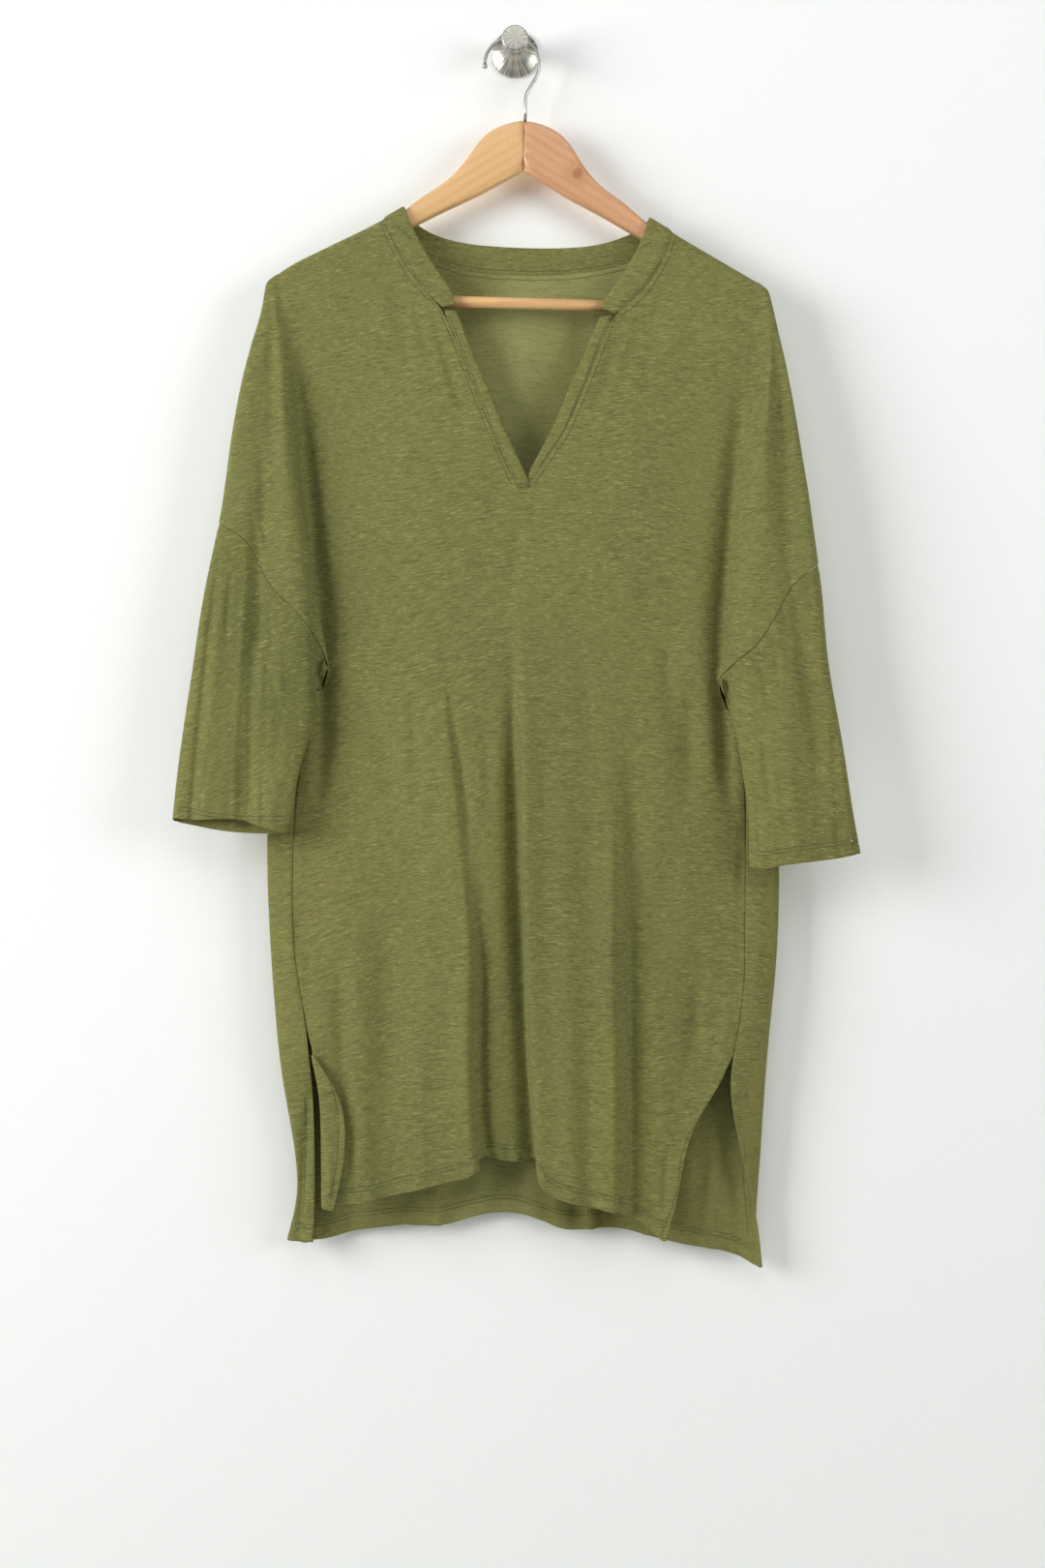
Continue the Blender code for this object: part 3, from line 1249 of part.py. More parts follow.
def make_knob(finish, collection):
    """The wall knob, turned about the axis that leaves the wall."""
    mesh = bmesh.new()
    points = [mesh.verts.new((radius * MM, 0.0, out * MM)) for out, radius in reversed(KNOB_PROFILE)]
    top = mesh.verts.new((0.0, 0.0, KNOB_PROFILE[-1][0] * MM))
    low = mesh.verts.new((0.0, 0.0, KNOB_PROFILE[0][0] * MM))
    line = [top] + points + [low]
    for a, b in zip(line, line[1:]):
        mesh.edges.new((a, b))
    piece = solid("wall_knob", mesh, finish, collection)
    turn = piece.modifiers.new("Turn", "SCREW")
    turn.steps = KNOB_SIDES
    turn.render_steps = KNOB_SIDES
    turn.use_merge_vertices = True
    turn.merge_threshold = 0.00001
    piece.rotation_euler = (math.radians(90.0), 0.0, 0.0)
    return piece


def main():
    clear_scene()
    collection = bpy.data.collections.new("tunic_on_hanger")
    bpy.context.scene.collection.children.link(collection)
    cloth = material("olive linen knit", (0.15, 0.18, 0.04), 0.9)
    trim = material("olive linen band", (0.14, 0.17, 0.04), 0.9)
    pale_wood = material("pale wood", (0.62, 0.36, 0.16), 0.45)
    pink_wood = material("pink wood", (0.58, 0.29, 0.13), 0.45)
    steel = material("brushed steel", (0.55, 0.55, 0.55), 0.35, 1.0)
    make_cloth(cloth, trim, collection)
    make_hanger_arm("hanger_arm_left", -1.0, pale_wood, collection)
    make_hanger_arm("hanger_arm_right", 1.0, pink_wood, collection)
    make_bar(pale_wood, collection)
    make_hook(steel, collection)
    make_knob(steel, collection)


main()
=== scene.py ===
import math
import bmesh
import bpy
import numpy as np
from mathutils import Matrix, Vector, noise
from mathutils.bvhtree import BVHTree


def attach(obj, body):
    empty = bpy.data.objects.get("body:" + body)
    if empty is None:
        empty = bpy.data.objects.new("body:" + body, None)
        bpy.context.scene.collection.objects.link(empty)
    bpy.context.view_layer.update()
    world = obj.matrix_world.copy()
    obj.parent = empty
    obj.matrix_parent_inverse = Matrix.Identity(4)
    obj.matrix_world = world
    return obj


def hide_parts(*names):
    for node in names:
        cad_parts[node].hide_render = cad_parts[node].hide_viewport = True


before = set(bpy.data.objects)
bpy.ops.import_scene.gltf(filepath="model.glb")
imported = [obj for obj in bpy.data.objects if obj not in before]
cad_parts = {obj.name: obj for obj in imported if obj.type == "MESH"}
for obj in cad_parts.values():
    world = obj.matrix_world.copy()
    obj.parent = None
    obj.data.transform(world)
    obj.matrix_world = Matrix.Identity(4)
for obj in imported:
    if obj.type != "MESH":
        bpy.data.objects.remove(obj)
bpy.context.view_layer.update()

# Linen knit tunic on a wooden hanger, hung over a turned steel knob on a white wall.
# Tables are in millimetres: x to the right of the knob, drop below it, out from the wall.
mm = 0.001
scene = bpy.context.scene
print("frame loaded:", ", ".join(sorted(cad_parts)))


def linear(text):
    # sRGB hex to the linear colour that Blender's sockets take
    values = [int(text[i:i + 2], 16) / 255.0 for i in (1, 3, 5)]
    return tuple(v / 12.92 if v <= 0.04045 else ((v + 0.055) / 1.055) ** 2.4 for v in values) + (1.0,)


def addNode(tree, kind, settings=None, links=None):
    node = tree.nodes.new(kind)
    for name, value in (settings or {}).items():
        setattr(node, name, value)
    for socket, value in (links or {}).items():
        if isinstance(value, bpy.types.NodeSocket):
            tree.links.new(value, node.inputs[socket])
        else:
            node.inputs[socket].default_value = value
    return node


def startMaterial(name):
    made = bpy.data.materials.new(name)
    made.use_nodes = True
    return made, made.node_tree, made.node_tree.nodes["Principled BSDF"]


def stretchedNoise(tree, coords, cell, detail=2.0, roughness=0.5):
    # cell is the size in mm of one patch along x, y and z
    place = addNode(tree, "ShaderNodeMapping", None, {"Vector": coords, "Scale": [1000.0 / c for c in cell]})
    made = addNode(tree, "ShaderNodeTexNoise", None, {
        "Vector": place.outputs["Vector"], "Scale": 1.0, "Detail": detail, "Roughness": roughness})
    return made.outputs["Fac"]


def tint(tree, colour, tone, pattern, low, high, most=1.0):
    # lays a tone over the colour: none where the pattern is at low, its most where it is at high
    share = addNode(tree, "ShaderNodeMapRange", {"interpolation_type": "SMOOTHSTEP"},
                    {"Value": pattern, "From Min": low, "From Max": high, "To Min": 0.0, "To Max": most})
    made = addNode(tree, "ShaderNodeMix", {"data_type": "RGBA"}, {
        0: share.outputs["Result"], 6: colour, 7: tone})
    return made.outputs[2]


# Linen jersey, yarn dyed olive: thick and thin places in the flax yarn show as short level flecks
linenLooks = {
    "ground": "#6d6e3e", "fleck": "#939058", "shade": "#4c4d27", "warm": "#73713f",
    # one patch of each pattern, in mm. A real course is 0.6 mm high: drawn coarser so that it shows
    "cells": {"cloud": (150.0, 90.0, 220.0), "flecks": (6.5, 6.5, 0.9), "streaks": (20.8, 20.8, 1.35),
              "grain": (1.7, 1.7, 0.8)},
    "layerColumns": ("pattern", "tone", "low", "high", "most"),
    "layers": [
        ("cloud", "warm", 0.35, 0.65, 1.0),
        ("streaks", "shade", 0.52, 0.34, 0.4),
        ("flecks", "fleck", 0.54, 0.72, 0.8),
        ("flecks", "shade", 0.46, 0.28, 0.75),
        ("grain", "fleck", 0.55, 0.8, 0.3),
    ],
    "fleckHeight": 0.7,  # as a share of the grain's
    "leftSlope": -0.16,  # the body hangs a little askew: its left courses run up to the middle
    "sag": 0.03,  # metres over which the courses wander up and down across the drape
}


def linenKnit(name, courseTilt=0.0, shift=0.0, ground=None, strength=1.0):
    looks, cells = linenLooks, linenLooks["cells"]
    made, tree, shader = startMaterial(name)
    coords = addNode(tree, "ShaderNodeTexCoord").outputs["Object"]
    turned = addNode(tree, "ShaderNodeMapping", None, {
        "Vector": coords, "Rotation": (0.0, math.radians(courseTilt), 0.0), "Location": (shift, 0.0, shift)})
    coords = turned.outputs["Vector"]
    cloud = stretchedNoise(tree, coords, cells["cloud"], 1.0, 0.5)
    across = addNode(tree, "ShaderNodeSeparateXYZ", None, {0: coords}).outputs["X"]
    leftPart = addNode(tree, "ShaderNodeMath", {"operation": "MINIMUM"}, {0: across, 1: 0.0}).outputs["Value"]
    slope = addNode(tree, "ShaderNodeMath", {"operation": "MULTIPLY"}, {0: leftPart, 1: looks["leftSlope"]})
    drape = addNode(tree, "ShaderNodeMath", {"operation": "MULTIPLY_ADD"},
                    {0: cloud, 1: looks["sag"], 2: slope.outputs["Value"]})
    lift = addNode(tree, "ShaderNodeCombineXYZ", None, {2: drape.outputs["Value"]})
    coords = addNode(tree, "ShaderNodeVectorMath", {"operation": "ADD"},
                     {0: coords, 1: lift.outputs["Vector"]}).outputs["Vector"]
    patterns = {"cloud": cloud, "flecks": stretchedNoise(tree, coords, cells["flecks"], 2.0, 0.65),
                "streaks": stretchedNoise(tree, coords, cells["streaks"], 2.0, 0.55),
                "grain": stretchedNoise(tree, coords, cells["grain"], 1.0, 0.5)}
    colour = linear(ground or looks["ground"])
    for row in looks["layers"]:
        layer = dict(zip(looks["layerColumns"], row))
        yarnTone = layer["pattern"] in ("flecks", "streaks")  # these grow fainter on the wrong side
        colour = tint(tree, colour, linear(looks[layer["tone"]]), patterns[layer["pattern"]], layer["low"],
                      layer["high"], layer["most"] * (strength if yarnTone else 1.0))
    tree.links.new(colour, shader.inputs["Base Color"])
    height = addNode(tree, "ShaderNodeMath", {"operation": "MULTIPLY_ADD"},
                     {0: patterns["flecks"], 1: looks["fleckHeight"], 2: patterns["grain"]})
    bump = addNode(tree, "ShaderNodeBump", None, {
        "Strength": 0.35, "Distance": 0.0006, "Height": height.outputs["Value"]})
    tree.links.new(bump.outputs["Normal"], shader.inputs["Normal"])
    rough = addNode(tree, "ShaderNodeMapRange", {"interpolation_type": "SMOOTHSTEP"}, {
        "Value": patterns["flecks"], "From Min": 0.3, "From Max": 0.7, "To Min": 0.95, "To Max": 0.82})
    tree.links.new(rough.outputs["Result"], shader.inputs["Roughness"])
    shader.inputs["Specular IOR Level"].default_value = 0.2
    shader.inputs["Sheen Weight"].default_value = 0.12
    shader.inputs["Sheen Roughness"].default_value = 0.45
    shader.inputs["Sheen Tint"].default_value = linear("#d8d6a0")
    return made


# Polyester sewing thread, spun, with a faint shine. The olive is painted darker than the cloth: its hue is
# the thread's own, its darkness is painted shade along the stitched lines
threadLooks = {"olive": "#55592f", "tack": "#eeece2", "fibreMm": 0.6, "twistShade": 0.72}


def sewingThread(name, hexColour):
    made, tree, shader = startMaterial(name)
    coords = addNode(tree, "ShaderNodeTexCoord").outputs["Object"]
    size = threadLooks["fibreMm"]
    twist = stretchedNoise(tree, coords, (size, size, size), 1.0)
    dark = tuple(c * threadLooks["twistShade"] for c in linear(hexColour)[:3]) + (1.0,)
    colour = addNode(tree, "ShaderNodeMix", {"data_type": "RGBA"}, {0: twist, 6: dark, 7: linear(hexColour)})
    tree.links.new(colour.outputs[2], shader.inputs["Base Color"])
    rough = addNode(tree, "ShaderNodeMapRange", {"interpolation_type": "SMOOTHSTEP"}, {
        "Value": twist, "From Min": 0.2, "From Max": 0.8, "To Min": 0.5, "To Max": 0.75})
    tree.links.new(rough.outputs["Result"], shader.inputs["Roughness"])
    return made


# Beech, planed and clear lacquered: short dark pores along the grain, soft growth bands
woodLooks = {
    "pale": {"light": "#d0a872", "dark": "#c4965e", "pore": "#a87642", "lean": 31.0, "knot": None},
    "pink": {"light": "#c2926a", "dark": "#b27e53", "pore": "#8f5d39", "lean": -33.0,
             # the radii at which each tone starts and is full, in metres
             "knot": {"at": (57.0, 0.0, -117.0), "halo": (0.0210, 0.0085), "heart": (0.0090, 0.0060),
                      "heartColour": "#96603a", "wobble": 0.006}},
    "bar": {"light": "#d2a872", "dark": "#be8b56", "pore": "#a06c3d", "lean": 1.65, "knot": None},
}
# the height of one growth band, and one patch of the grain's waver and of the pores, in mm
grainMm = {"band": 8.267, "waver": (120.0, 40.0, 14.0), "pores": (9.0, 1.2, 0.8)}


def lacqueredBeech(name, looks):
    made, tree, shader = startMaterial(name)
    coords = addNode(tree, "ShaderNodeTexCoord").outputs["Object"]
    turned = addNode(tree, "ShaderNodeMapping", {"vector_type": "TEXTURE"}, {
        "Vector": coords, "Rotation": (0.0, math.radians(-looks["lean"]), 0.0)}).outputs["Vector"]
    warp = stretchedNoise(tree, turned, grainMm["waver"], 2.0)
    # a wave of scale 1 has 20 radians to the metre
    waveScale = math.tau / (20.0 * grainMm["band"] * mm)
    rings = addNode(tree, "ShaderNodeTexWave", {"bands_direction": "Z"}, {
        "Vector": turned, "Scale": waveScale, "Distortion": 1.8, "Detail": 3.0, "Detail Scale": 0.4})
    bands = addNode(tree, "ShaderNodeMath", {"operation": "MULTIPLY"}, {0: rings.outputs["Fac"], 1: warp})
    pores = stretchedNoise(tree, turned, grainMm["pores"], 2.0, 0.7)
    colour = tint(tree, linear(looks["light"]), linear(looks["dark"]), bands.outputs["Value"],
                  low=0.1, high=0.75, most=0.6)
    colour = tint(tree, colour, linear(looks["pore"]), pores, low=0.58, high=0.75, most=0.5)
    knot = looks["knot"]
    if knot:
        flat = addNode(tree, "ShaderNodeVectorMath", {"operation": "MULTIPLY"}, {
            0: coords, 1: (1.0, 0.0, 1.0)})
        away = addNode(tree, "ShaderNodeVectorMath", {"operation": "DISTANCE"}, {
            0: flat.outputs["Vector"], 1: [value * mm for value in knot["at"]]})
        radius = addNode(tree, "ShaderNodeMath", {"operation": "MULTIPLY_ADD"},
                         {0: warp, 1: knot["wobble"], 2: away.outputs["Value"]}).outputs["Value"]
        colour = tint(tree, colour, linear(looks["dark"]), radius, *knot["halo"], most=0.7)
        colour = tint(tree, colour, linear(knot["heartColour"]), radius, *knot["heart"], most=0.8)
    tree.links.new(colour, shader.inputs["Base Color"])
    bump = addNode(tree, "ShaderNodeBump", {"invert": True}, {
        "Strength": 0.15, "Distance": 0.0003, "Height": pores})
    tree.links.new(bump.outputs["Normal"], shader.inputs["Normal"])
    rough = addNode(tree, "ShaderNodeMapRange", {"interpolation_type": "SMOOTHSTEP"}, {
        "Value": pores, "From Min": 0.4, "From Max": 0.75, "To Min": 0.36, "To Max": 0.55})
    tree.links.new(rough.outputs["Result"], shader.inputs["Roughness"])
    shader.inputs["Coat Weight"].default_value = 0.25
    shader.inputs["Coat Roughness"].default_value = 0.3
    return made


# Stainless steel, turned and then brushed on the lathe: fine rings round the axis spread the light, and
# bright sectors round the axis are painted highlights
steelLooks = {"light": "#a3a197", "dark": "#77756c", "glint": "#dcdad1", "ringMm": 0.5}


def brushedSteel(name):
    made, tree, shader = startMaterial(name)
    coords = addNode(tree, "ShaderNodeTexCoord").outputs["Object"]
    parts = addNode(tree, "ShaderNodeSeparateXYZ", None, {0: coords})
    flat = addNode(tree, "ShaderNodeVectorMath", {"operation": "MULTIPLY"}, {0: coords, 1: (1.0, 0.0, 1.0)})
    reach = addNode(tree, "ShaderNodeVectorMath", {"operation": "LENGTH"}, {0: flat.outputs["Vector"]})
    ring = addNode(tree, "ShaderNodeCombineXYZ", None, {
        0: reach.outputs["Value"], 1: parts.outputs["Y"], 2: 0.0})
    size = steelLooks["ringMm"]
    lines = stretchedNoise(tree, ring.outputs["Vector"], (size, size * 2.0, 1.0), 2.0, 0.7)
    turn = addNode(tree, "ShaderNodeMath", {"operation": "ARCTAN2"}, {
        0: parts.outputs["Z"], 1: parts.outputs["X"]})
    paintedSpokes = addNode(tree, "ShaderNodeTexNoise", {"noise_dimensions": "1D"}, {
        "W": turn.outputs["Value"], "Scale": 9.0, "Detail": 3.0})
    ringed = addNode(tree, "ShaderNodeMix", {"data_type": "RGBA"}, {
        0: lines, 6: linear(steelLooks["dark"]), 7: linear(steelLooks["light"])})
    # painted highlight: the glint tone is laid in sectors round the axis
    colour = tint(tree, ringed.outputs[2], linear(steelLooks["glint"]), paintedSpokes.outputs["Fac"],
                  low=0.42, high=0.6, most=0.75)
    tree.links.new(colour, shader.inputs["Base Color"])
    rough = addNode(tree, "ShaderNodeMapRange", {"interpolation_type": "SMOOTHSTEP"}, {
        "Value": lines, "From Min": 0.2, "From Max": 0.8, "To Min": 0.3, "To Max": 0.48})
    tree.links.new(rough.outputs["Result"], shader.inputs["Roughness"])
    bump = addNode(tree, "ShaderNodeBump", None, {"Strength": 0.2, "Distance": 0.0001, "Height": lines})
    tree.links.new(bump.outputs["Normal"], shader.inputs["Normal"])
    shader.inputs["Metallic"].default_value = 1.0
    return made


# Drawn steel wire, bright plated: faint draw lines, a mirror-like side glint
wireLooks = {"light": "#b9b8b2", "dark": "#a5a49e", "lineMm": (0.8, 0.8, 6.0)}


def brightWire(name):
    made, tree, shader = startMaterial(name)
    coords = addNode(tree, "ShaderNodeTexCoord").outputs["Object"]
    drawn = stretchedNoise(tree, coords, wireLooks["lineMm"], 2.0)
    colour = addNode(tree, "ShaderNodeMix", {"data_type": "RGBA"}, {
        0: drawn, 6: linear(wireLooks["dark"]), 7: linear(wireLooks["light"])})
    tree.links.new(colour.outputs[2], shader.inputs["Base Color"])
    rough = addNode(tree, "ShaderNodeMapRange", {"interpolation_type": "SMOOTHSTEP"}, {
        "Value": drawn, "From Min": 0.2, "From Max": 0.8, "To Min": 0.26, "To Max": 0.38})
    tree.links.new(rough.outputs["Result"], shader.inputs["Roughness"])
    shader.inputs["Metallic"].default_value = 1.0
    return made


linenBody = linenKnit("linen jersey, level courses")
# painted light: the wrong side's paler ground is partly its own look and partly painted light on the back's
# inside; its fainter flecks are its own
linenInsideLit = linenKnit("linen jersey, wrong side, painted lighter", 0.0, 1.9, "#8a8a56", 0.6)
# painted shade: the sleeves are the body's linen with a darker ground standing in for the shade on them;
# their tilts are their own slanted courses
linenLeftShaded = linenKnit("linen jersey, left sleeve, painted darker", 9.0, 0.3, "#656738")
linenRightShaded = linenKnit("linen jersey, right sleeve, painted darker", -8.0, 0.7, "#646537")
linenTrim = linenKnit("linen jersey, trim strips", 0.0, 1.1)
oliveThreadShaded = sewingThread("spun polyester thread, olive, painted darker", threadLooks["olive"])
tackThread = sewingThread("spun polyester thread, white", threadLooks["tack"])
print("materials made")

# Folds and creases. Each row: the line's points (x, drop), its width to the left and to the right,
# how far it comes out (below zero, a trough), and how softly it starts and ends (0 runs out at full depth)
frontFolds = {
    "columns": ("line", "left", "right", "depth", "startSoft", "endSoft"),
    "rows": [
        (((-38, 700), (-31, 828), (-32, 926), (-30, 974), (-23, 1020)), 4.0, 8.0, -3.0, 0.6, 0.0),
        (((-50, 730), (-43, 828), (-44, 926), (-42, 974), (-37, 1020)), 12.0, 5.0, 1.6, 0.6, 0.0),
        (((0, 490), (2, 663), (4, 747), (7, 826), (13, 938), (17, 1020)), 10.0, 2.8, -3.4, 0.4, 0.0),
        (((5, 490), (7, 663), (9, 747), (12, 826), (18, 938), (23, 1020)), 2.8, 15.0, 2.0, 0.4, 0.0),
        (((99, 600), (103, 700), (104, 830), (104, 930), (105, 1060)), 4.0, 13.0, -3.6, 0.5, 0.0),
        (((84, 600), (87, 700), (87, 830), (88, 930), (88, 1060)), 12.0, 5.0, 1.3, 0.5, 0.0),
        (((158, 560), (157, 620), (158, 700)), 12.0, 10.0, -2.2, 0.5, 0.5),
        (((163, 830), (164, 880), (162, 945)), 7.0, 6.0, -1.8, 0.5, 0.5),
        (((-62, 540), (-57, 610), (-52, 646), (-46, 699), (-40, 780)), 3.0, 4.5, -1.6, 0.5, 0.4),
        (((-24, 600), (-26, 650), (-24, 710)), 4.0, 5.0, -0.9, 0.5, 0.5),
        (((-65, 860), (-60, 885), (-54, 908)), 4.0, 4.0, -1.0, 0.5, 0.5),
        (((-112, 780), (-115, 880), (-112, 990)), 16.0, 13.0, -2.0, 0.5, 0.4),
        (((-206, 240), (-197, 313), (-186, 420), (-177, 517), (-176, 620), (-180, 705)),
         4.0, 12.0, -3.6, 0.3, 0.15),
        (((219, 255), (209, 330), (197, 420), (187, 520), (190, 600), (197, 705)),
         12.0, 4.0, -3.6, 0.3, 0.15),
        (((-158, 790), (-156, 880), (-157, 985)), 6.0, 7.0, -1.6, 0.5, 0.4),
        (((207, 705), (206, 750), (204, 800)), 5.0, 5.0, -1.4, 0.4, 0.5),
        (((203, 805), (207, 840), (211, 880)), 3.5, 3.5, -0.9, 0.5, 0.5),
        (((-76, 238), (-58, 300), (-38, 366)), 5.0, 7.0, -1.0, 0.3, 0.6),
        (((-96, 226), (-78, 282), (-66, 330)), 6.0, 6.0, -0.8, 0.3, 0.6),
        (((-112, 208), (-100, 262), (-98, 330)), 8.0, 7.0, -0.7, 0.3, 0.6),
        (((99, 246), (84, 300), (60, 372)), 7.0, 5.0, -1.0, 0.3, 0.6),
        (((118, 236), (101, 292), (92, 340)), 6.0, 6.0, -0.8, 0.3, 0.6),
        (((134, 214), (122, 268), (121, 330)), 7.0, 8.0, -0.7, 0.3, 0.6),
        (((-176, 505), (-132, 430), (-92, 400)), 13.0, 13.0, 0.9, 0.5, 0.6),
        (((184, 520), (141, 446), (104, 412)), 13.0, 13.0, 0.8, 0.5, 0.6),
        (((-150, 560), (-118, 640), (-104, 720)), 13.0, 11.0, -1.1, 0.5, 0.5),
        (((150, 700), (128, 790), (126, 880)), 10.0, 12.0, -1.0, 0.5, 0.5),
        (((3, 412), (1, 470), (-1, 530)), 7.0, 6.0, -0.7, 0.5, 0.5),
        (((40, 560), (44, 700), (46, 900), (50, 1040)), 12.0, 13.0, 1.2, 0.5, 0.0),
        (((62, 860), (64, 950), (66, 1050)), 8.0, 9.0, -1.1, 0.5, 0.0),
        (((-84, 840), (-88, 940), (-86, 1040)), 10.0, 9.0, 1.2, 0.5, 0.0),
        (((-136, 930), (-134, 1000), (-131, 1048)), 7.0, 8.0, 1.0, 0.5, 0.0),
        (((124, 905), (121, 980), (120, 1070)), 7.0, 8.0, -1.0, 0.5, 0.0),
        (((-220, 560), (-216, 640), (-216, 720)), 5.0, 5.0, 0.8, 0.4, 0.0),
        # crumples beside the slits
        (((-184, 800), (-186, 860), (-187, 925)), 3.0, 3.0, -0.8, 0.4, 0.4),
        (((-152, 960), (-148, 985), (-150, 1030)), 3.0, 3.5, -0.8, 0.4, 0.3),
        (((-142, 985), (-139, 1010), (-141, 1040)), 3.0, 3.0, 0.6, 0.4, 0.3),
        (((186, 880), (180, 912), (166, 950)), 3.5, 3.5, -0.9, 0.4, 0.4),
        (((172, 880), (163, 905), (158, 960)), 4.0, 4.0, 0.7, 0.4, 0.4),
        (((142, 985), (136, 1010), (133, 1060)), 3.5, 3.0, -0.8, 0.4, 0.2),
        (((-176, 960), (-172, 1000), (-174, 1045)), 2.5, 2.5, -0.8, 0.4, 0.3),
        (((-168, 975), (-165, 1010), (-167, 1050)), 2.5, 2.5, 0.7, 0.4, 0.3),
        (((-163, 948), (-158, 970), (-156, 1000)), 2.5, 3.0, -0.7, 0.4, 0.4),
        (((196, 850), (190, 890), (180, 925)), 3.0, 3.0, 0.7, 0.4, 0.4),
        (((-8, 985), (-6, 1000), (-7, 1020)), 2.5, 3.0, -0.9, 0.4, 0.0),
        (((-94, 560), (-90, 640), (-84, 700)), 5.0, 5.0, -0.8, 0.5, 0.5),
        (((60, 520), (66, 590), (70, 680)), 7.0, 6.0, -0.7, 0.5, 0.5),
        (((134, 500), (139, 580), (146, 650)), 8.0, 7.0, -1.0, 0.5, 0.5),
        # left arm: the upper arm, then the sleeve
        (((-222, 262), (-231, 350), (-237, 430)), 7.0, 7.0, -1.0, 0.4, 0.6),
        (((-209, 262), (-207, 360), (-203, 450)), 6.0, 7.0, 0.9, 0.4, 0.6),
        (((-262, 446), (-272, 531), (-282, 626), (-289, 706)), 3.0, 4.0, -1.6, 0.3, 0.0),
        (((-254, 446), (-264, 531), (-272, 626), (-278, 706)), 5.0, 6.0, 1.0, 0.3, 0.0),
        (((-243, 560), (-245, 630), (-246, 706)), 3.5, 3.5, -1.3, 0.5, 0.0),
        (((-211, 536), (-209, 580), (-207, 610)), 3.0, 3.5, 1.2, 0.5, 0.5),
        (((-205, 590), (-213, 640), (-216, 690)), 4.0, 4.0, -0.9, 0.5, 0.5),
        (((-228, 400), (-231, 510), (-235, 583), (-239, 706)), 3.0, 3.5, -1.3, 0.5, 0.0),
        (((-237, 400), (-240, 510), (-245, 583), (-249, 706)), 4.0, 4.0, 1.3, 0.5, 0.0),
        (((-218, 440), (-221, 510), (-226, 583), (-229, 706)), 4.0, 4.0, 1.2, 0.5, 0.0),
        (((-294, 470), (-299, 560), (-303, 640)), 2.5, 3.0, -1.0, 0.4, 0.3),
        (((-252, 470), (-256, 520), (-258, 560)), 2.5, 2.5, -0.9, 0.4, 0.5),
        (((-222, 480), (-218, 530), (-213, 562)), 3.0, 3.0, -1.0, 0.4, 0.5),
        (((-221, 640), (-225, 672), (-226, 712)), 2.5, 2.5, -1.0, 0.5, 0.2),
        (((-268, 610), (-275, 660), (-281, 700)), 3.0, 3.0, -0.9, 0.5, 0.1),
        # right arm
        (((234, 262), (244, 350), (252, 440)), 7.0, 7.0, -1.0, 0.4, 0.6),
        (((219, 272), (223, 370), (222, 470)), 7.0, 6.0, 0.9, 0.4, 0.6),
        (((247, 498), (258, 550), (263, 595), (270, 639), (275, 700)), 7.0, 8.0, -2.2, 0.4, 0.3),
        (((216, 596), (222, 640), (229, 700)), 4.0, 4.0, -1.4, 0.5, 0.4),
        (((232, 560), (242, 640), (250, 730)), 7.0, 7.0, 1.1, 0.5, 0.0),
        (((234, 478), (240, 520), (243, 556)), 4.0, 4.0, -1.1, 0.5, 0.5),
        (((283, 540), (291, 620), (299, 725)), 5.0, 6.0, 0.9, 0.4, 0.0),
        (((288, 580), (284, 650), (288, 728)), 4.0, 4.0, -0.9, 0.5, 0.0),
        (((214, 545), (222, 575), (226, 610)), 2.5, 2.5, -1.2, 0.4, 0.4),
        (((222, 520), (233, 556), (236, 600)), 2.5, 3.0, -1.0, 0.4, 0.5),
        (((226, 640), (232, 675), (237, 720)), 3.0, 3.0, 0.9, 0.4, 0.2),
        (((211, 650), (216, 690), (218, 735)), 2.5, 3.0, -0.9, 0.4, 0.1),
        (((268, 470), (276, 520), (280, 570)), 3.0, 3.0, -1.1, 0.4, 0.5),
        (((256, 455), (262, 490), (263, 520)), 3.0, 3.0, -0.9, 0.4, 0.5),
    ],
}
